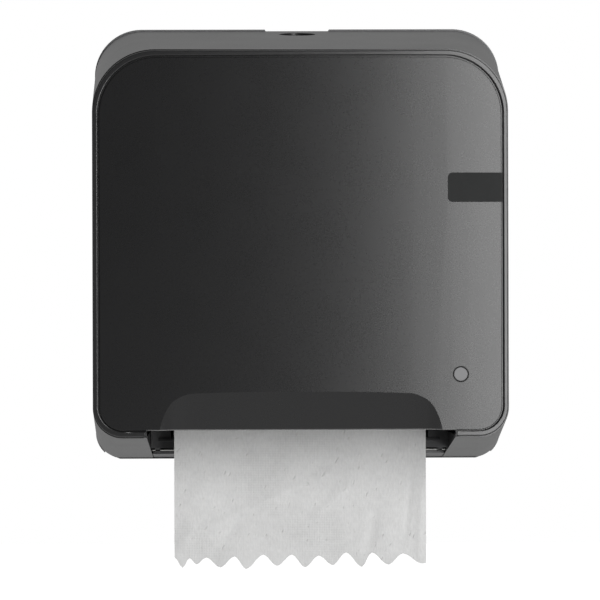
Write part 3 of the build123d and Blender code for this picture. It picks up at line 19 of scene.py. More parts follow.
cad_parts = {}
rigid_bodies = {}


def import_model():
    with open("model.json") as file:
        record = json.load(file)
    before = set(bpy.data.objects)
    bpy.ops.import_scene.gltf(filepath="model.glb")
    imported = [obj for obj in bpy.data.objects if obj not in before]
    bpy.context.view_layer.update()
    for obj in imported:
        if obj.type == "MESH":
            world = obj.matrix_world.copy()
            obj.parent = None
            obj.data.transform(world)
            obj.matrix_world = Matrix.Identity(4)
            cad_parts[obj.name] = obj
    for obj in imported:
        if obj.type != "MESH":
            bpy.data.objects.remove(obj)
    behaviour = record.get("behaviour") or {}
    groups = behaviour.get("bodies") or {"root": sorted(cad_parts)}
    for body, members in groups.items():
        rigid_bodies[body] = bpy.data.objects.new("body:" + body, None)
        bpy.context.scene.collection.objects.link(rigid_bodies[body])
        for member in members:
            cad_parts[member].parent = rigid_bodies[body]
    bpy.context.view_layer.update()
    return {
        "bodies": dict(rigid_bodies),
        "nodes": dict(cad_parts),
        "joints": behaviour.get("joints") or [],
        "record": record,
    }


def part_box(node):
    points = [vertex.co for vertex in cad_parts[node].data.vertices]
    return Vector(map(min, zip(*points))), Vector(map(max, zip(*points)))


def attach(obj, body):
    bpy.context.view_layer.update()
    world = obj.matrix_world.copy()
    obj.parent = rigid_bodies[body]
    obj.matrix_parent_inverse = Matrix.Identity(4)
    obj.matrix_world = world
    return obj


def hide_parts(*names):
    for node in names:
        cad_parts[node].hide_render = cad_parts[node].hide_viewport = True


log = logging.getLogger("dispenser")

MM = 0.001
WELD = 0.004 * MM
Colour = tuple[float, float, float]
Point = tuple[float, float, float]


class Sock:
    """An output of a shader node that takes Python arithmetic."""

    def __init__(self, tree: "Tree", socket: bpy.types.NodeSocket) -> None:
        """Keeps a tree and one output of a node in it."""
        self.tree = tree
        self.socket = socket

    def math(self, operation: str, *others: "Sock | float") -> "Sock":
        """Result of a Math node on this value and the others."""
        links = {index: value for index, value in enumerate((self, *others))}
        return self.tree.node("ShaderNodeMath", {"operation": operation}, links)

    def __add__(self, other: "Sock | float") -> "Sock":
        """Sum."""
        return self.math("ADD", other)

    __radd__ = __add__

    def __mul__(self, other: "Sock | float") -> "Sock":
        """Product."""
        return self.math("MULTIPLY", other)

    __rmul__ = __mul__

    def __sub__(self, other: "Sock | float") -> "Sock":
        """Difference."""
        return self.math("SUBTRACT", other)

    def __rsub__(self, other: float) -> "Sock":
        """Difference from a number."""
        return self * -1.0 + other

    def __truediv__(self, other: "Sock | float") -> "Sock":
        """Quotient."""
        return self.math("DIVIDE", other)

    def __pow__(self, other: "Sock | float") -> "Sock":
        """Power."""
        return self.math("POWER", other)

    def __abs__(self) -> "Sock":
        """Size without its sign."""
        return self.math("ABSOLUTE")

    def sine(self) -> "Sock":
        """Sine, in radians."""
        return self.math("SINE")

    def fraction(self) -> "Sock":
        """What is left over past a whole number."""
        return self.math("FRACT")

    def between(self, low: float, high: float, first: float = 0.0, last: float = 1.0) -> "Sock":
        """Value that runs smoothly from the first, where this is low, to the last, where it is high."""
        settings = {"interpolation_type": "SMOOTHSTEP"}
        return self.tree.node("ShaderNodeMapRange", settings, {0: self, 1: low, 2: high, 3: first, 4: last})


class Tree:
    """Node tree of a material or of the world, with its main shader."""

    def __init__(self, owner: bpy.types.Material | bpy.types.World, shader: str) -> None:
        """Starts the tree.

        Args:
            owner: The new material or world.
            shader: Name of its main shader.
        """
        owner.use_nodes = True
        self.owner = owner
        self.nodes = owner.node_tree.nodes
        self.links = owner.node_tree.links
        self.shader = self.nodes[shader]

    @classmethod
    def of_material(cls, name: str) -> "Tree":
        """Tree of a new material."""
        return cls(bpy.data.materials.new(name), "Principled BSDF")

    def node(self, kind: str, settings: dict | None = None, links: dict | None = None,
             out: int | str = 0) -> Sock:
        """Adds a node.

        Args:
            kind: The node's type.
            settings: Its properties, set first.
            links: Its inputs, by index or name, as values or links.
            out: Which output to give back, by index or name.

        Returns:
            That output.
        """
        made = self.nodes.new(kind)
        for key, value in (settings or {}).items():
            setattr(made, key, value)
        for key, value in (links or {}).items():
            self.feed(made.inputs[key], value)
        return Sock(self, made.outputs[out])

    def feed(self, socket: bpy.types.NodeSocket, value: "Sock | float | Sequence[float]") -> None:
        """Links or sets one input.

        Args:
            socket: The input.
            value: A link, a number, or a colour or vector.
        """
        if isinstance(value, Sock):
            self.links.new(value.socket, socket)
        elif isinstance(value, (int, float)):
            socket.default_value = value
        else:
            size = len(socket.default_value)
            socket.default_value = tuple(value) + (1.0,) * (size - len(value))

    def shade(self, **values: "Sock | float | Sequence[float]") -> bpy.types.Material | bpy.types.World:
        """Sets the main shader's inputs.

        Args:
            values: Input names, with underscores for spaces, and their values.

        Returns:
            The finished material or world.
        """
        for key, value in values.items():
            self.feed(self.shader.inputs[key.replace("_", " ")], value)
        return self.owner

    def place(self, uv: bool = False) -> Sock:
        """Place on the object or in its UV map, in metres."""
        return self.node("ShaderNodeTexCoord", out="UV" if uv else "Object")

    def ray(self, kind: str) -> Sock:
        """1 for rays of one kind and 0 for the rest."""
        return self.node("ShaderNodeLightPath", out=f"Is {kind} Ray")

    def axes(self, vector: Sock) -> tuple[Sock, Sock, Sock]:
        """Splits a vector.

        Args:
            vector: The vector.

        Returns:
            Its three numbers.
        """
        split = self.node("ShaderNodeSeparateXYZ", None, {0: vector})
        outputs = split.socket.node.outputs
        return Sock(self, outputs[0]), Sock(self, outputs[1]), Sock(self, outputs[2])

    def stretched(self, vector: Sock, scale: Point) -> Sock:
        """Vector with each axis scaled."""
        return self.node("ShaderNodeVectorMath", {"operation": "MULTIPLY"}, {0: vector, 1: scale})

    def grain(self, vector: Sock, size: float, detail: float = 2.0, rough: float = 0.5) -> Sock:
        """Noise around 0.5, by the size of its lumps and by the number and strength of its finer layers."""
        return self.node("ShaderNodeTexNoise", None,
                         {"Vector": vector, "Scale": 1.0 / size, "Detail": detail, "Roughness": rough})

    def mix(self, factor: Sock | float, low: Sock | Colour, high: Sock | Colour) -> Sock:
        """Colour between two, by a factor."""
        return self.node("ShaderNodeMix", {"data_type": "RGBA"}, {0: factor, 6: low, 7: high}, out=2)

    def blend(self, factor: Sock, low: Sock, high: Sock | float) -> Sock:
        """Number between two, by a factor."""
        return self.node("ShaderNodeMix", {"data_type": "FLOAT"}, {0: factor, 2: low, 3: high})

    def bump(self, height: Sock, edge: float = 0.0) -> Sock:
        """Normal from a height.

        Args:
            height: Height in metres.
            edge: Radius that softens the sharp edges, in metres.

        Returns:
            The normal.
        """
        links = {"Strength": 1.0, "Distance": 1.0, "Height": height}
        if edge:
            links["Normal"] = self.node("ShaderNodeBevel", {"samples": 4}, {"Radius": edge})
        return self.node("ShaderNodeBump", None, links)


def scaled(colour: Colour, share: float) -> Colour:
    """Colour made darker or lighter by a share."""
    red, green, blue = (min(1.0, part * share) for part in colour)
    return red, green, blue


@dataclass(frozen=True)
class Moulded:
    """Moulded plastic with a fine spark-eroded grain."""

    name: str
    colour: Colour
    roughness: float
    grain: float = 0.9 * MM
    depth: float = 0.02 * MM
    peel: float = 2.6 * MM
    peel_depth: float = 0.012 * MM
    cloud: float = 45 * MM
    mottle: float = 0.10
    gloss_spread: float = 0.16
    specular: float = 0.5
    edge: float = 0.35 * MM
    # Painted highlight along a lower edge, used where its top is set.
    edge_highlight_top: float = 0.0
    edge_highlight_width: float = 0.5 * MM
    edge_highlight_half_length: float = 121 * MM
    edge_highlight_patch: float = 6 * MM
    edge_highlight_colour: Colour = (0.20, 0.20, 0.20)

    def painted_edge_highlight(self, tree: Tree, place: Sock, colour: Sock) -> Sock:
        """Colour made paler along the lower edge, a painted highlight where the edge would catch light from
        below, broken up by patchy noise.

        Args:
            tree: The material's tree.
            place: Place on the object.
            colour: The plastic's colour.

        Returns:
            The colour with the painted edge highlight.
        """
        side, _, up = tree.axes(place)
        low = 1.0 - up.between(self.edge_highlight_top - self.edge_highlight_width, self.edge_highlight_top)
        inside = 1.0 - abs(side).between(self.edge_highlight_half_length, self.edge_highlight_half_length + self.edge_highlight_width)
        patchy = tree.grain(place, self.edge_highlight_patch, 2.0) * 0.6 + 0.6
        return tree.mix(low * inside * patchy, colour, self.edge_highlight_colour)

    def build(self) -> bpy.types.Material:
        """Puts grain in the normal, and clouds in colour and roughness, and paints a highlight along the
        lower edge where one is set.

        Returns:
            The material.
        """
        tree = Tree.of_material(self.name)
        place = tree.place()
        fine = tree.grain(place, self.grain, 2.0)
        specks = tree.grain(place, 1.7 * self.grain, 1.0)
        peel = tree.grain(place, self.peel, 2.0, 0.6)
        clouds = tree.grain(place, self.cloud, 3.0)
        shade = (fine - 0.5) * self.mottle * 3.0 + (clouds - 0.5) * self.mottle + 0.5
        colour = tree.mix(shade, scaled(self.colour, 0.7), scaled(self.colour, 1.3))
        uneven = (specks - 0.5) + (clouds - 0.5) * 0.6
        rough = uneven * self.gloss_spread + self.roughness
        height = fine * self.depth + peel * self.peel_depth
        # Painted highlight: paler colour along the lower edge, where light would catch it.
        if self.edge_highlight_top:
            colour = self.painted_edge_highlight(tree, place, colour)
        return tree.shade(Base_Color=colour, Roughness=rough, Normal=tree.bump(height, self.edge),
                          Specular_IOR_Level=self.specular)


class Lay(Enum):
    """Which way the tool marks of a metal run, as marks in a metre along each axis."""

    ALONG_X = (40.0, 1600.0, 1600.0)
    ROUND_X = (1800.0, 60.0, 60.0)
    SPECKLED = (500.0, 500.0, 500.0)


@dataclass(frozen=True)
class Metal:
    """Bare or plated metal with tool marks."""

    name: str
    colour: Colour
    roughness: float
    lay: Lay
    stain: float = 0.25
    stain_size: float = 9 * MM
    mark_depth: float = 0.006 * MM
    edge: float = 0.25 * MM

    def build(self) -> bpy.types.Material:
        """Puts tool marks in roughness and normal, and faint stains in colour.

        Returns:
            The material.
        """
        tree = Tree.of_material(self.name)
        place = tree.place()
        marks = tree.grain(tree.stretched(place, self.lay.value), 1.0, 3.0, 0.6)
        clouds = tree.grain(place, self.stain_size, 4.0)
        stains = clouds.between(0.45, 0.75) * self.stain + (marks - 0.5) * 0.35
        colour = tree.mix(stains, self.colour, scaled(self.colour, 0.62))
        rough = (marks - 0.5) * 0.22 + (clouds - 0.5) * 0.12 + self.roughness
        return tree.shade(Base_Color=colour, Metallic=1.0, Roughness=rough,
                          Normal=tree.bump(marks * self.mark_depth, self.edge))


@dataclass(frozen=True)
class RubberFinish:
    """Dull rubber with paper dust."""

    name: str
    colour: Colour
    dust: float = 0.35
    dust_colour: Colour = (0.34, 0.33, 0.31)
    dust_patch: float = 7 * MM
    pore: float = 0.5 * MM
    pore_depth: float = 0.04 * MM

    def build(self) -> bpy.types.Material:
        """Puts fine pores all over and dust on the worn parts.

        Returns:
            The material.
        """
        tree = Tree.of_material(self.name)
        place = tree.place()
        pores = tree.grain(place, self.pore, 3.0)
        clouds = tree.grain(place, self.dust_patch, 4.0, 0.6)
        dust = clouds.between(0.45, 0.8) * self.dust + (pores - 0.5) * 0.2
        colour = tree.mix(dust, self.colour, self.dust_colour)
        return tree.shade(Base_Color=colour, Roughness=(pores - 0.5) * 0.15 + 0.72,
                          Normal=tree.bump(pores * self.pore_depth), Specular_IOR_Level=0.35)


@dataclass(frozen=True)
class Tissue:
    """Soft white paper with creped streaks, patches of crossed emboss and small puckers."""

    name: str
    colour: Colour
    pitch: float = 1.9 * MM
    patch: float = 55 * MM
    fibre: float = 1.5 * MM
    crepe: float = 6.5 * MM
    pucker: float = 3.6 * MM
    cloud: float = 24 * MM
    emboss_depth: float = 0.10 * MM
    streak_depth: float = 0.22 * MM
    pucker_depth: float = 0.45 * MM

    def build(self) -> bpy.types.Material:
        """Makes the emboss from crossed waves in the UV map, with painted shade on its dots, and streaks and
        puckers from stretched noise.

        Returns:
            The material.
        """
        tree = Tree.of_material(self.name)
        place = tree.place(uv=True)
        across, along, _ = tree.axes(place)
        turn = math.tau / self.pitch * 0.7
        rising = ((across + along) * turn).sine()
        falling = ((across - along) * turn).sine()
        patches = tree.grain(place, self.patch, 1.0).between(0.46, 0.66)
        emboss_relief_and_shade = (rising * falling).between(-0.4, 0.7) * (patches * 0.85 + 0.15)
        streaks = tree.grain(tree.stretched(place, (1.0, 0.32, 1.0)), self.fibre, 3.0, 0.62)
        crepe = tree.grain(tree.stretched(place, (0.6, 1.0, 1.0)), self.crepe, 3.0, 0.55)
        slant = {0: across + along * 0.7, 1: (along - across * 0.7) * 0.4}
        slanted = tree.node("ShaderNodeCombineXYZ", None, slant)
        dashes = tree.grain(slanted, self.pucker, 1.0).between(0.66, 0.80)
        clouds = tree.grain(place, self.cloud, 2.0)
        # The emboss dots also darken the colour: painted shade of the emboss relief.
        shade = (streaks - 0.5) * 1.2 + (clouds - 0.5) * 0.4 + (crepe - 0.5) * 0.5 + 0.6 - emboss_relief_and_shade * 0.45
        colour = tree.mix(shade, scaled(self.colour, 0.86), scaled(self.colour, 1.07))
        height = (emboss_relief_and_shade * self.emboss_depth + streaks * self.streak_depth + crepe * (2.2 * self.streak_depth)
                  - dashes * self.pucker_depth)
        return tree.shade(Base_Color=colour, Roughness=(streaks - 0.5) * 0.1 + 0.93,
                          Normal=tree.bump(height), Specular_IOR_Level=0.12)


@dataclass(frozen=True)
class WoundEdge:
    """End of a paper roll: fine rings of paper edges about an axis along X."""

    name: str
    colour: Colour
    centre: tuple[float, float]
    ring: float = 0.55 * MM
    layer: float = 1.1 * MM
    fibre: float = 0.7 * MM
    cloud: float = 14 * MM
    depth: float = 0.12 * MM

    def build(self) -> bpy.types.Material:
        """Draws rings by the distance from the axis, broken by clouds.

        Returns:
            The material.
        """
        tree = Tree.of_material(self.name)
        place = tree.place()
        _, along, up = tree.axes(place)
        back = along - self.centre[0]
        rise = up - self.centre[1]
        distance = (back * back + rise * rise) ** 0.5
        wobble = tree.grain(place, self.cloud, 2.0)
        rings = ((distance + wobble * 0.6 * MM) * (math.tau / self.ring)).sine()
        layers = tree.grain(tree.node("ShaderNodeCombineXYZ", None, {0: distance}), self.layer, 4.0, 0.8)
        fibres = tree.grain(place, self.fibre, 3.0)
        shade = rings * 0.14 + (layers - 0.5) * 1.1 + (fibres - 0.5) * 0.3 + 0.5
        colour = tree.mix(shade, scaled(self.colour, 0.74), scaled(self.colour, 1.02))
        height = rings * 0.3 + layers + fibres * 0.3
        return tree.shade(Base_Color=colour, Roughness=0.95, Normal=tree.bump(height * self.depth),
                          Specular_IOR_Level=0.1)


@dataclass(frozen=True)
class Card:
    """Grey-brown core board with spiral seams."""

    name: str
    colour: Colour
    centre: tuple[float, float]
    lead: float = 62 * MM
    fibre: float = 2.2 * MM
    depth: float = 0.12 * MM

    def build(self) -> bpy.types.Material:
        """Draws fibres, and a seam that climbs round the tube.

        Returns:
            The material.
        """
        tree = Tree.of_material(self.name)
        place = tree.place()
        side, along, up = tree.axes(place)
        angle = (up - self.centre[1]).math("ARCTAN2", along - self.centre[0])
        climb = (side / self.lead + angle / math.tau).fraction()
        seam = 1.0 - abs(climb - 0.5).between(0.0, 0.012)
        fibres = tree.grain(tree.stretched(place, (1.0, 3.0, 3.0)), self.fibre, 5.0, 0.7)
        shade = (fibres - 0.5) * 0.9 + seam * -0.5 + 0.5
        colour = tree.mix(shade, scaled(self.colour, 0.55), scaled(self.colour, 1.25))
        return tree.shade(Base_Color=colour, Roughness=(fibres - 0.5) * 0.1 + 0.88,
                          Normal=tree.bump((fibres * 0.5 - seam) * self.depth), Specular_IOR_Level=0.2)


@dataclass(frozen=True)
class Frosted:
    """Frosted pale lens."""

    name: str
    colour: Colour
    roughness: float = 0.42
    frost: float = 0.35 * MM
    frost_depth: float = 0.01 * MM
    cloud: float = 4 * MM

    def build(self) -> bpy.types.Material:
        """Puts fine frosting in colour, roughness and normal.

        Returns:
            The material.
        """
        tree = Tree.of_material(self.name)
        place = tree.place()
        frost = tree.grain(place, self.frost, 2.0)
        clouds = tree.grain(place, self.cloud, 2.0)
        shade = (frost - 0.5) * 0.5 + (clouds - 0.5) * 0.4 + 0.5
        colour = tree.mix(shade, scaled(self.colour, 0.9), scaled(self.colour, 1.1))
        return tree.shade(Base_Color=colour, Roughness=(frost - 0.5) * 0.2 + self.roughness,
                          Normal=tree.bump(frost * self.frost_depth))


class Finish(Enum):
    """Every finish of the dispenser, by what wears it."""

    COVER = Moulded("cover plastic", (0.0125, 0.0125, 0.013), 0.31, depth=0.008 * MM, peel_depth=0.005 * MM,
                    gloss_spread=0.08, specular=0.75)
    # The panel's lower edge gets a painted highlight in its colour.
    PANEL = Moulded("panel plastic", (0.0105, 0.0105, 0.011), 0.28, depth=0.003 * MM, peel_depth=0.003 * MM,
                    gloss_spread=0.05, specular=0.6, edge=0.0, edge_highlight_top=-147.9 * MM)
    BADGE = Moulded("badge plastic", (0.014, 0.015, 0.015), 0.50, depth=0.004 * MM, mottle=0.05,
                    specular=0.15)
    RING = Moulded("ring plastic", (0.006, 0.006, 0.006), 0.30, depth=0.005 * MM, specular=0.3)
    LENS = Frosted("frosted lens", (0.24, 0.24, 0.245))
    BACK = Moulded("back plate plastic", (0.19, 0.19, 0.194), 0.45)
    FRAME = Moulded("frame plastic", (0.045, 0.045, 0.047), 0.50, grain=1.3 * MM)
    DRUM = Moulded("drum plastic", (0.62, 0.61, 0.58), 0.42, grain=1.1 * MM, depth=0.015 * MM, mottle=0.05)
    HUB = Moulded("hub plastic", (0.50, 0.51, 0.50), 0.38, grain=1.1 * MM, depth=0.015 * MM, mottle=0.05)
    KNOB = Moulded("knob plastic", (0.018, 0.075, 0.24), 0.36, grain=0.8 * MM, depth=0.02 * MM)
    STEEL = Metal("plated steel", (0.56, 0.56, 0.54), 0.27, Lay.ALONG_X)
    SPRING = Metal("spring wire", (0.42, 0.42, 0.41), 0.32, Lay.SPECKLED, 0.4)
    BLADE = Metal("ground blade", (0.66, 0.67, 0.68), 0.20, Lay.ROUND_X, 0.1)
    LOCK = Metal("turned lock metal", (0.36, 0.36, 0.37), 0.30, Lay.SPECKLED)
    CARRIER = Metal("extruded aluminium", (0.72, 0.72, 0.73), 0.33, Lay.ALONG_X, 0.12)
    RUBBER = RubberFinish("black rubber", (0.022, 0.022, 0.022))
    TISSUE = Tissue("embossed paper", (0.80, 0.80, 0.795))


SLOT_FINISH = {
    "cover_plastic": Finish.COVER,
    "panel_plastic": Finish.PANEL,
    "badge_dark": Finish.BADGE,
    "ring_dark": Finish.RING,
    "lens_frosted": Finish.LENS,
    "back_plastic": Finish.BACK,
    "frame_plastic": Finish.FRAME,
    "drum_plastic": Finish.DRUM,
    "hub_plastic": Finish.HUB,
    "knob_plastic": Finish.KNOB,
    "steel": Finish.STEEL,
    "spring_steel": Finish.SPRING,
    "blade_steel": Finish.BLADE,
    "lock_metal": Finish.LOCK,
    "carrier_metal": Finish.CARRIER,
    "rubber_black": Finish.RUBBER,
    "paper": Finish.TISSUE,
}


def deselect_all() -> None:
    """Leaves no object selected, so that an operator acts on the new piece alone."""
    for other in bpy.context.selected_objects:
        other.select_set(False)


def select_only(piece: bpy.types.Object) -> None:
    """Makes a piece the only selected object and the active one.

    Args:
        piece: The piece.
    """
    deselect_all()
    bpy.context.view_layer.objects.active = piece
    piece.select_set(True)


def begin(name: str) -> bpy.types.Object:
    """Names the new primitive, which the operator left active.

    Args:
        name: The piece's name.

    Returns:
        The new object.
    """
    made = bpy.context.object
    made.name = name
    made.data.name = name
    return made


def apply_modifier(piece: bpy.types.Object, kind: str, **settings: float | int | str | bool) -> None:
    """Adds a modifier, sets it and applies it.

    Args:
        piece: The piece.
        kind: The modifier's type.
        settings: Its properties.
    """
    select_only(piece)
    modifier = piece.modifiers.new(kind.lower(), kind)
    for key, value in settings.items():
        setattr(modifier, key, value)
    bpy.ops.object.modifier_apply(modifier=modifier.name)


def smooth(piece: bpy.types.Object, degrees: float) -> None:
    """Shades a piece smoothly, apart from edges sharper than an angle in degrees."""
    select_only(piece)
    bpy.ops.object.shade_smooth_by_angle(angle=math.radians(degrees))


def give_material(piece: bpy.types.Object, material: bpy.types.Material) -> None:
    """Gives a piece one material."""
    piece.data.materials.clear()
    piece.data.materials.append(material)


def turned_piece(name: str, centre: tuple[float, float], profile: Sequence[tuple[float, float]],
                 sides: int) -> bpy.types.Object:
    """Turns a closed profile about an axis along X, by extruding and scaling one loop of edges.

    Args:
        name: The piece's name.
        centre: The axis's y and z.
        profile: Corners as (x, radius), in order round the section.
        sides: Number of sides of each loop.

    Returns:
        The closed piece.
    """
    deselect_all()
    first_x, first_radius = profile[0]
    origin = Vector((first_x, *centre))
    bpy.ops.mesh.primitive_circle_add(vertices=sides, radius=first_radius, location=origin,
                                      rotation=(0.0, math.pi / 2, 0.0))
    piece = begin(name)
    bpy.ops.object.transform_apply(location=True, rotation=True, scale=True)
    bpy.ops.object.mode_set(mode="EDIT")
    bpy.ops.mesh.select_all(action="SELECT")
    x, radius = first_x, first_radius
    for next_x, next_radius in list(profile[1:]) + [profile[0]]:
        bpy.ops.mesh.extrude_region_move(TRANSFORM_OT_translate={"value": (next_x - x, 0.0, 0.0)})
        share = next_radius / radius
        bpy.ops.transform.resize(value=(1.0, share, share), center_override=(next_x, *centre))
        x, radius = next_x, next_radius
    bpy.ops.mesh.select_all(action="SELECT")
    bpy.ops.mesh.remove_doubles(threshold=WELD)
    bpy.ops.mesh.normals_make_consistent(inside=False)
    bpy.ops.object.mode_set(mode="OBJECT")
    return piece


@dataclass
class TurnedShape:
    """Place and size of a round CAD node on an axis along X."""

    low: Vector
    high: Vector

    @classmethod
    def of(cls, node: str) -> "TurnedShape":
        """Reads a node's box."""
        return cls(*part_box(node))

    @property
    def centre(self) -> tuple[float, float]:
        """The axis's y and z."""
        return (self.low.y + self.high.y) / 2, (self.low.z + self.high.z) / 2

    @property
    def radius(self) -> float:
        """Outer radius."""
        return (self.high.z - self.low.z) / 2


@dataclass
class PaperPath:
    """The paper from the roll, past the guide rod, over the drum and out of the mouth.

    The teeth, how far they end above the lowest tip, and the creases are in millimetres.
    """

    clearance: float = 0.45 * MM
    front_gap: float = 0.15 * MM
    thickness: float = 0.24 * MM
    column_step: float = 1.9 * MM
    web_step: float = 4.0 * MM
    bend_step: float = 2.4 * MM
    least_bend_steps: int = 6
    tail_rows: int = 92
    tail_drop: float = 138 * MM
    fold_depth: float = 2.0 * MM
    long_wave: float = 34 * MM
    short_wave: float = 15 * MM
    swell: tuple[float, float] = (26 * MM, 60 * MM)
    dimple: tuple[float, float] = (9 * MM, 14 * MM)
    dimple_depth: float = 0.30 * MM
    curl: float = 2.6 * MM
    curl_height: float = 15 * MM
    curl_wave: float = 11 * MM
    tooth_tips: tuple[float, ...] = (-94.5, -83.5, -64.3, -43.6, -18.7, 3.7, 26.1, 49.4, 70.5, 97.8)
    tooth_valleys: tuple[float, ...] = (-88.8, -75.5, -52.8, -29.7, -6.7, 14.8, 36.7, 57.4, 82.4)
    tip_drops: tuple[float, ...] = (0.6, 3.1, 0.6, -0.7, 1.6, 0.6, 2.1, 0.6, 2.5, 3.3)
    valley_drops: tuple[float, ...] = (8.2, 8.5, 9.3, 10.5, 10.5, 9.7, 12.1, 12.1, 11.3)
    end_drops: tuple[float, float] = (8.9, 3.8)
    zigzag_zone: float = 24 * MM
    zigzag_share: float = 0.86
    tooth_round: float = 0.09
    sharp_deg: float = 50.0
    creases: tuple[tuple[float, ...], ...] = (
        (-72, 136, -44, 96, 5.0, 1.1),
        (-20, 92, 30, 52, 6.0, 0.9),
        (8, 104, 44, 70, 4.0, -0.8),
        (-104, 123, 28, 63, 4.0, -1.1),
        (84, 120, 90, 62, 2.2, 1.0),
        (95, 138, 98, 70, 2.6, -0.9),
        (52, 138, 62, 92, 4.5, 1.0),
        (-96, 128, -84, 100, 4.0, -1.0),
    )

    def __post_init__(self) -> None:
        """Reads where the paper runs from the frame."""
        self.roll = TurnedShape.of("towel_roll")
        self.rod = TurnedShape.of("web_guide_rod")
        web_low, web_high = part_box("towel_web")
        tail_low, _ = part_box("towel_tail")
        self.half_width = web_high.x
        self.front_y = web_low.y + self.front_gap
        self.split_z = web_low.z
        self.tip_z = tail_low.z
        self.drum_centre = TurnedShape.of("drum_axle_right").centre
        self.drum_radius = self.drum_centre[0] - self.front_y

    def tangent_angles(self) -> tuple[float, float]:
        """Finds the two straight runs of the paper, before and after the guide rod.

        Returns:
            Angles of the runs' normals in the side view.
        """
        roll_radius = self.roll.radius + self.clearance
        rod_radius = self.rod.radius + self.clearance
        away_y = self.roll.centre[0] - self.rod.centre[0]
        away_z = self.roll.centre[1] - self.rod.centre[1]
        far = math.hypot(away_y, away_z)
        first = math.asin((rod_radius - roll_radius) / far) + math.atan2(-away_y, away_z)
        near_y = self.rod.centre[0] - self.drum_centre[0]
        near_z = self.rod.centre[1] - self.drum_centre[1]
        near = math.hypot(near_y, near_z)
        second = math.atan2(near_z, near_y) - math.acos(-(rod_radius + self.drum_radius) / near)
        return first, second

    @staticmethod
    def on_round(centre: tuple[float, float], radius: float, angle: float) -> tuple[float, float]:
        """Point (y, z) at an angle round a centre."""
        return centre[0] + radius * math.cos(angle), centre[1] + radius * math.sin(angle)

    def web_line(self) -> list[tuple[float, float]]:
        """Follows the paper's middle from the roll to the top of the tail.

        Returns:
            Points (y, z).
        """
        first, second = self.tangent_angles()
        roll_radius = self.roll.radius + self.clearance
        rod_radius = self.rod.radius + self.clearance
        line = [self.on_round(self.roll.centre, roll_radius, first)]
        line += self.run(line[-1], self.on_round(self.rod.centre, rod_radius, first))
        line += self.bend(self.rod.centre, rod_radius, first, second)
        line += self.run(line[-1], self.on_round(self.drum_centre, self.drum_radius, second + math.pi))
        line += self.bend(self.drum_centre, self.drum_radius, second + math.pi, math.pi)
        line += self.run(line[-1], (self.front_y, self.split_z))
        return line

    def run(self, start: tuple[float, float], end: tuple[float, float]) -> list[tuple[float, float]]:
        """Spaces points evenly along a straight run.

        Args:
            start: Its start, as (y, z).
            end: Its end.

        Returns:
            The points after the start.
        """
        count = max(1, round(math.dist(start, end) / self.web_step))
        shares = [step / count for step in range(1, count + 1)]
        return [tuple(a + (b - a) * share for a, b in zip(start, end)) for share in shares]

    def bend(self, centre: tuple[float, float], radius: float, start: float, end: float
             ) -> list[tuple[float, float]]:
        """Spaces points evenly round a bend.

        Args:
            centre: Its centre, as (y, z).
            radius: Its radius.
            start: Angle at its start.
            end: Angle at its end.

        Returns:
            The points after the start.
        """
        steps = max(self.least_bend_steps, round(abs(end - start) * radius / self.bend_step))
        angles = [start + (end - start) * step / steps for step in range(1, steps + 1)]
        return [self.on_round(centre, radius, angle) for angle in angles]

    def hem(self) -> list[tuple[float, float]]:
        """Places the corners of the zigzag cut.

        Returns:
            Corners (x, z) from left to right.
        """
        low = self.tip_z
        points = [(-self.half_width, low + self.end_drops[0] * MM)]
        for index, (x, drop) in enumerate(zip(self.tooth_tips, self.tip_drops)):
            points.append((x * MM, low + drop * MM))
            if index < len(self.tooth_valleys):
                points.append((self.tooth_valleys[index] * MM, low + self.valley_drops[index] * MM))
        points.append((self.half_width, low + self.end_drops[1] * MM))
        return points

    def columns(self) -> list[tuple[float, float]]:
        """Spaces the sheet's columns so that each corner of the cut has one.

        Returns:
            Places across the paper, each with the height of the cut there.
        """
        corners = self.hem()
        found = [corners[0]]
        for (x0, z0), (x1, z1) in zip(corners, corners[1:]):
            steps = max(2, round((x1 - x0) / self.column_step))
            for step in range(1, steps + 1):
                share = step / steps
                ease = share - self.tooth_round * math.sin(math.tau * share)
                found.append((x0 + (x1 - x0) * share, z0 + (z1 - z0) * ease))
        return found

    def ripple(self, x: float, depth: float) -> float:
        """How far the hanging paper stands off its plane.

        Args:
            x: Place across the paper, in metres.
            depth: Distance below the top of the tail, in metres.

        Returns:
            Offset along Y, in metres.
        """
        share = max(0.0, depth / self.tail_drop)
        grow = share * share
        wave = math.sin(x / self.long_wave + 0.9 + 1.2 * share)
        wave += 0.6 * math.sin(x / self.short_wave - 2.0 + 0.8 * share)
        swell = noise.noise(Vector((x / self.swell[0], depth / self.swell[1], 4.2)))
        dimple = noise.noise(Vector((x / self.dimple[0], depth / self.dimple[1], 8.6)))
        folds = self.fold_depth * grow * (0.55 * wave + 0.9 * swell)
        folds += self.dimple_depth * dimple * min(1.0, 3 * share)
        return folds + sum(self.crease(x, depth, *crease) for crease in self.creases)

    @staticmethod
    def crease(x: float, depth: float, x0: float, d0: float, x1: float, d1: float, width: float,
               height: float) -> float:
        """One soft crease along a line, which fades out at its ends.

        Args:
            x: Place across the paper, in metres.
            depth: Distance below the top of the tail, in metres.
            x0: Its start across the paper, in millimetres.
            d0: Its start below the top, in millimetres.
            x1: Its end across the paper.
            d1: Its end below the top.
            width: Its half width.
            height: How far it stands out, negative towards the viewer.

        Returns:
            Offset along Y, in metres.
        """
        way = Vector((x1 - x0, d1 - d0))
        spot = Vector((x / MM - x0, depth / MM - d0))
        share = spot.dot(way) / way.length_squared
        off = abs(spot.cross(way)) / way.length
        ends = max(0.0, 1.0 - (2.0 * share - 1.0) ** 4) if 0.0 < share < 1.0 else 0.0
        return height * MM * ends * math.exp(-((off / width) ** 2))

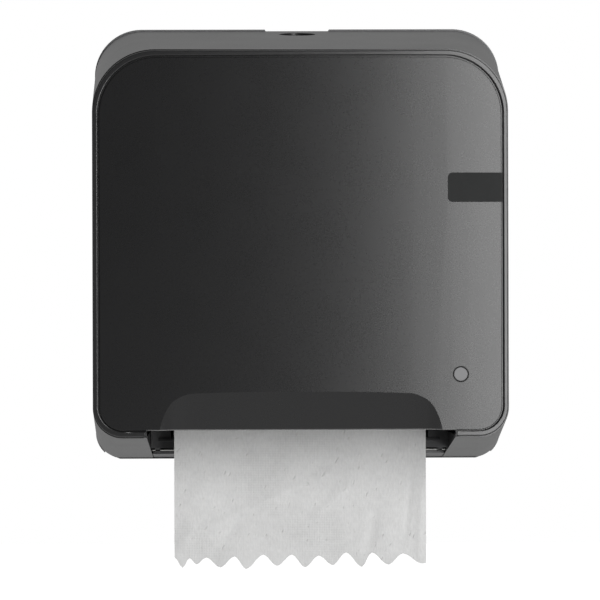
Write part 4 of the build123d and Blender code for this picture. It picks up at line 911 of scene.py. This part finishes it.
    def build(self) -> bpy.types.Object:
        """Shapes a grid into the whole sheet, from the roll to the cut.

        Returns:
            The finished sheet.
        """
        line = self.web_line()
        columns = self.columns()
        rows = len(line) + self.tail_rows
        deselect_all()
        bpy.ops.mesh.primitive_grid_add(x_subdivisions=len(columns) - 1, y_subdivisions=rows - 1, size=1.0)
        sheet = begin("paper_sheet")
        travel = [0.0]
        for start, end in zip(line, line[1:]):
            travel.append(travel[-1] + math.dist(start, end))
        layer = sheet.data.uv_layers.active or sheet.data.uv_layers.new(name="UVMap")
        spots: list[tuple[float, float]] = []
        for vertex in sheet.data.vertices:
            column = round((vertex.co.x + 0.5) * (len(columns) - 1))
            row = rows - 1 - round((vertex.co.y + 0.5) * (rows - 1))
            x, hem_z = columns[column]
            if row < len(line):
                vertex.co = (x, *line[row])
                spots.append((x, travel[row]))
                continue
            share = (row - len(line) + 1) / self.tail_rows
            vertex.co, depth = self.tail_point(x, hem_z, share)
            spots.append((x, travel[-1] + depth))
        for loop in sheet.data.loops:
            layer.data[loop.index].uv = spots[loop.vertex_index]
        apply_modifier(sheet, "SOLIDIFY", thickness=self.thickness, offset=0.0)
        smooth(sheet, self.sharp_deg)
        return sheet

    def tail_point(self, x: float, hem_z: float, share: float) -> tuple[Point, float]:
        """One point of the hanging tail.

        Args:
            x: Place across the paper.
            hem_z: Height of the cut below it.
            share: From 0 at the top of the tail to 1 at the cut.

        Returns:
            The point, and its distance below the top of the tail.
        """
        zone_top = self.tip_z + self.zigzag_zone
        level = self.split_z + (zone_top - self.split_z) * share / self.zigzag_share
        if share > self.zigzag_share:
            rest = (share - self.zigzag_share) / (1.0 - self.zigzag_share)
            level = zone_top + (hem_z - zone_top) * rest
        depth = self.split_z - level
        lip = max(0.0, (self.tip_z + self.curl_height - level) / self.curl_height)
        curl = self.curl * lip * lip * (0.55 + 0.45 * math.sin(x / self.curl_wave))
        return (x, self.front_y + self.ripple(x, depth) - curl, level), depth

    def dress(self, material: bpy.types.Material) -> None:
        """Args:
            material: The paper's material.
        """
        sheet = self.build()
        give_material(sheet, material)
        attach(sheet, "frame")
        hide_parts("towel_web", "towel_tail")
        length, area = self.flat_size()
        log.info("paper sheet: %.0f mm long, %d faces", length / MM, len(sheet.data.polygons))

    def flat_size(self) -> tuple[float, float]:
        """Measures the sheet laid flat.

        Returns:
            Length to the lowest tip, and area with the teeth cut out.
        """
        line = self.web_line()
        web = sum(math.dist(a, b) for a, b in zip(line, line[1:]))
        length = web + self.split_z - self.tip_z
        hem = self.hem()
        lost = 0.0
        for (x0, z0), (x1, z1) in zip(hem, hem[1:]):
            lost += (x1 - x0) * ((z0 + z1) / 2 - self.tip_z)
        return length, 2 * self.half_width * length - lost


@dataclass
class TowelRoll:
    """The wound roll, with slightly uneven layers at its ends and softened outer edges."""

    seed: int = 7
    ring_count: int = 34
    sides: int = 144
    uneven: float = 0.35 * MM
    edge_round: float = 0.5 * MM
    core_gap: float = 0.05 * MM
    sharp_deg: float = 35.0
    edge_colour: Colour = (0.80, 0.79, 0.775)

    def profile(self, half: float, inner: float, outer: float) -> list[tuple[float, float]]:
        """Draws the roll's section, with uneven layers at both ends.

        Args:
            half: Half its length.
            inner: Radius of its hole.
            outer: Its outer radius.

        Returns:
            Corners as (x, radius).
        """
        draw = random.Random(self.seed)
        corners: list[tuple[float, float]] = []
        for side in (-1, 1):
            face = []
            for ring in range(self.ring_count + 1):
                radius = inner + (outer - self.edge_round - inner) * ring / self.ring_count
                face.append((side * (half - self.uneven * draw.random()), radius))
            face.append((side * (half - self.edge_round), outer))
            corners += face if side < 0 else face[::-1]
        return corners

    def dress(self, outside: bpy.types.Material) -> None:
        """Builds the roll with paper round it and wound edges at its ends.

        Args:
            outside: Material of the paper round it.
        """
        shape = TurnedShape.of("towel_roll")
        core = TurnedShape.of("roll_core")
        half = shape.high.x
        profile = self.profile(half, core.radius + self.core_gap, shape.radius)
        roll = turned_piece("paper_roll", shape.centre, profile, self.sides)
        edge = WoundEdge("wound paper edges", self.edge_colour, shape.centre).build()
        give_material(roll, outside)
        roll.data.materials.append(edge)
        self.wrap(roll, shape)
        smooth(roll, self.sharp_deg)
        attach(roll, "roll")
        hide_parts("towel_roll")
        log.info("paper roll: %d faces", len(roll.data.polygons))

    @staticmethod
    def wrap(roll: bpy.types.Object, shape: TurnedShape) -> None:
        """Gives the ends their own material, and lays the UV map round the roll without a seam.

        Args:
            roll: The roll.
            shape: Its place and size.
        """
        layer = roll.data.uv_layers.active or roll.data.uv_layers.new(name="UVMap")
        middle = Vector((0.0, *shape.centre))
        for face in roll.data.polygons:
            face.material_index = 1 if abs(face.normal.x) > 0.5 else 0
            away = face.center - middle
            base = math.atan2(away.z, away.y)
            for index in face.loop_indices:
                place = roll.data.vertices[roll.data.loops[index].vertex_index].co - middle
                step = math.remainder(math.atan2(place.z, place.y) - base, math.tau)
                layer.data[index].uv = (place.x, (base + step) * shape.radius)


@dataclass
class PinchSleeves:
    """Ribbed rubber sleeves of the pinch roller."""

    rib_pitch: float = 2.0 * MM
    rib_depth: float = 0.35 * MM
    groove: tuple[tuple[float, float], ...] = ((-0.22, 0.0), (-0.12, 1.0), (0.12, 1.0), (0.22, 0.0))
    end_round: float = 0.8 * MM
    sides: int = 72
    length: float = 30 * MM
    places: tuple[float, ...] = (-80 * MM, -27 * MM, 27 * MM, 80 * MM)
    sharp_deg: float = 40.0

    def profile(self, middle: float, outer: float, bore: float) -> list[tuple[float, float]]:
        """Draws one sleeve's section, with grooves between its ribs.

        Args:
            middle: Its middle along the shaft.
            outer: Its outer radius.
            bore: Radius of its bore.

        Returns:
            Corners as (x, radius).
        """
        start, end = middle - self.length / 2, middle + self.length / 2
        corners = [(start, bore), (start, outer - self.end_round), (start + self.end_round, outer)]
        count = int((self.length - 2 * self.end_round) / self.rib_pitch)
        for rib in range(1, count):
            x = start + self.end_round + (self.length - 2 * self.end_round) * rib / count
            for step, drop in self.groove:
                corners.append((x + step * self.rib_pitch, outer - drop * self.rib_depth))
        corners += [(end - self.end_round, outer), (end, outer - self.end_round), (end, bore)]
        return corners

    def dress(self, material: bpy.types.Material) -> None:
        """Builds the four sleeves on the shaft.

        Args:
            material: The rubber's material.
        """
        shape = TurnedShape.of("pinch_sleeves")
        shaft = TurnedShape.of("pinch_roller_shaft")
        profile = self.profile(self.places[0], shape.radius, shaft.radius)
        first = turned_piece("pinch_sleeve_0", shape.centre, profile, self.sides)
        give_material(first, material)
        smooth(first, self.sharp_deg)
        sleeves = [first] + [self.copy(first, index) for index in range(1, len(self.places))]
        for sleeve in sleeves:
            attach(sleeve, "pinch_roller")
            log.info("%s: %d faces", sleeve.name, len(sleeve.data.polygons))
        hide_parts("pinch_sleeves")

    def copy(self, first: bpy.types.Object, index: int) -> bpy.types.Object:
        """Copies the first sleeve to another place, with a mesh of its own.

        Args:
            first: The first sleeve.
            index: Which place.

        Returns:
            The copy.
        """
        select_only(first)
        bpy.ops.object.duplicate()
        sleeve = begin(f"pinch_sleeve_{index}")
        sleeve.location.x = self.places[index] - self.places[0]
        bpy.ops.object.transform_apply(location=True, rotation=False, scale=False)
        return sleeve


@dataclass
class Casework:
    """The CAD nodes, each in its slot's finish."""

    frame: dict
    core_colour: Colour = (0.36, 0.27, 0.18)
    materials: dict[Finish, bpy.types.Material] = field(default_factory=dict)

    def material(self, finish: Finish) -> bpy.types.Material:
        """Finds a finish's material, and builds it the first time.

        Args:
            finish: The finish.

        Returns:
            Its material.
        """
        if finish not in self.materials:
            self.materials[finish] = finish.value.build()
        return self.materials[finish]

    def dress(self) -> None:
        """Puts each node's finish in its material slot."""
        core = Card("core board", self.core_colour, TurnedShape.of("roll_core").centre).build()
        for subpart in self.frame["record"]["subparts"]:
            node = self.frame["nodes"][subpart["node"]]
            slot = subpart["material_slot"]
            material = core if slot == "core_card" else self.material(SLOT_FINISH[slot])
            for place in node.material_slots:
                place.material = material
            log.info("%s: %s", node.name, material.name)


@dataclass
class Studio:
    """White surround, one soft light and the camera at the photograph's place."""

    image_size: float = 600.0
    sensor: float = 36.0
    focal_pixels: float = 3759.0
    camera_place: Point = (-0.0397, -3.157, -0.0468)
    yaw_deg: float = 0.76
    roll_deg: float = 0.17
    far_clip: float = 100.0
    floor_z: float = -2.2
    floor_size: float = 60.0
    floor_tone: Colour = (0.82, 0.82, 0.82)
    floor_glow: float = 0.92
    floor_sheen: float = 0.20
    fill: float = 0.20
    back_fill: float = 0.5
    fill_span: tuple[float, float] = (0.0, 0.8)
    bright_side: Point = (0.35, 1.0, 0.0)
    dim_glow: float = 0.065
    wall_glow: float = 0.42
    glow_span: tuple[float, float] = (-0.5, 0.15)
    key_power: float = 41.0
    key_angle_deg: float = 22.2
    key_height: float = 0.3
    key_distance: float = 2.4
    key_target: Point = (0.0, -0.2, -0.02)
    key_size: tuple[float, float] = (0.86, 2.2)

    def camera(self) -> None:
        """Adds the camera."""
        data = bpy.data.cameras.new("camera")
        data.sensor_width = self.sensor
        data.lens = self.focal_pixels / self.image_size * self.sensor
        data.clip_end = self.far_clip
        camera = bpy.data.objects.new("camera", data)
        camera.location = self.camera_place
        camera.rotation_euler = (math.pi / 2, math.radians(self.roll_deg), -math.radians(self.yaw_deg))
        bpy.context.scene.collection.objects.link(camera)
        bpy.context.scene.camera = camera

    def light(self, name: str, place: Point, target: Point, size: tuple[float, float], power: float) -> None:
        """Adds one soft light.

        Args:
            name: Its name.
            place: Where it stands.
            target: Where it points.
            size: Width and height.
            power: Watts.
        """
        data = bpy.data.lights.new(name, "AREA")
        data.shape = "RECTANGLE"
        data.size, data.size_y = size
        data.energy = power
        lamp = bpy.data.objects.new(name, data)
        lamp.location = place
        lamp.rotation_euler = (Vector(target) - Vector(place)).to_track_quat("-Z", "Y").to_euler()
        bpy.context.scene.collection.objects.link(lamp)

    def world(self) -> None:
        """White surround for the camera, dim studio for light, white behind the object in reflections."""
        tree = Tree(bpy.data.worlds.new("studio"), "Background")
        ways = {0: tree.node("ShaderNodeTexCoord", out="Generated"), 1: self.bright_side}
        facing = tree.node("ShaderNodeVectorMath", {"operation": "DOT_PRODUCT"}, ways, out="Value")
        glow = facing.between(*self.glow_span, self.dim_glow, self.wall_glow)
        fill = facing.between(*self.fill_span, self.fill, self.back_fill)
        shiny = tree.ray("Glossy").math("MAXIMUM", tree.ray("Transmission"))
        strength = tree.blend(tree.ray("Camera"), tree.blend(shiny, fill, glow), 1.0)
        bpy.context.scene.world = tree.shade(Color=(1.0, 1.0, 1.0), Strength=strength)

    def floor(self) -> None:
        """Adds the pale floor, white to the camera except in the shadow."""
        deselect_all()
        bpy.ops.mesh.primitive_plane_add(size=self.floor_size, location=(0.0, 0.0, self.floor_z))
        floor = begin("floor")
        tree = Tree.of_material("pale floor")
        seen = tree.ray("Camera") * self.floor_glow + tree.ray("Glossy") * self.floor_sheen
        glow = tree.mix(seen, (0.0, 0.0, 0.0), (1.0, 1.0, 1.0))
        material = tree.shade(Base_Color=self.floor_tone, Roughness=0.9, Specular_IOR_Level=0.1,
                              Emission_Color=glow, Emission_Strength=1.0)
        give_material(floor, material)

    def build(self) -> None:
        """Sets up the whole studio."""
        scene = bpy.context.scene
        scene.view_settings.view_transform = "Standard"
        self.camera()
        self.world()
        self.floor()
        turn = math.radians(self.key_angle_deg)
        place = (self.key_distance * math.sin(turn), -self.key_distance * math.cos(turn), self.key_height)
        self.light("key softbox", place, self.key_target, self.key_size, self.key_power)
        log.info("studio ready")


def main() -> None:
    """Builds everything in order."""
    logging.basicConfig(level=logging.INFO, format="%(name)s: %(message)s")
    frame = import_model()
    Studio().build()
    casework = Casework(frame)
    casework.dress()
    tissue = casework.material(Finish.TISSUE)
    PaperPath().dress(tissue)
    TowelRoll().dress(tissue)
    PinchSleeves().dress(casework.material(Finish.RUBBER))


if __name__ == "__main__":
    main()
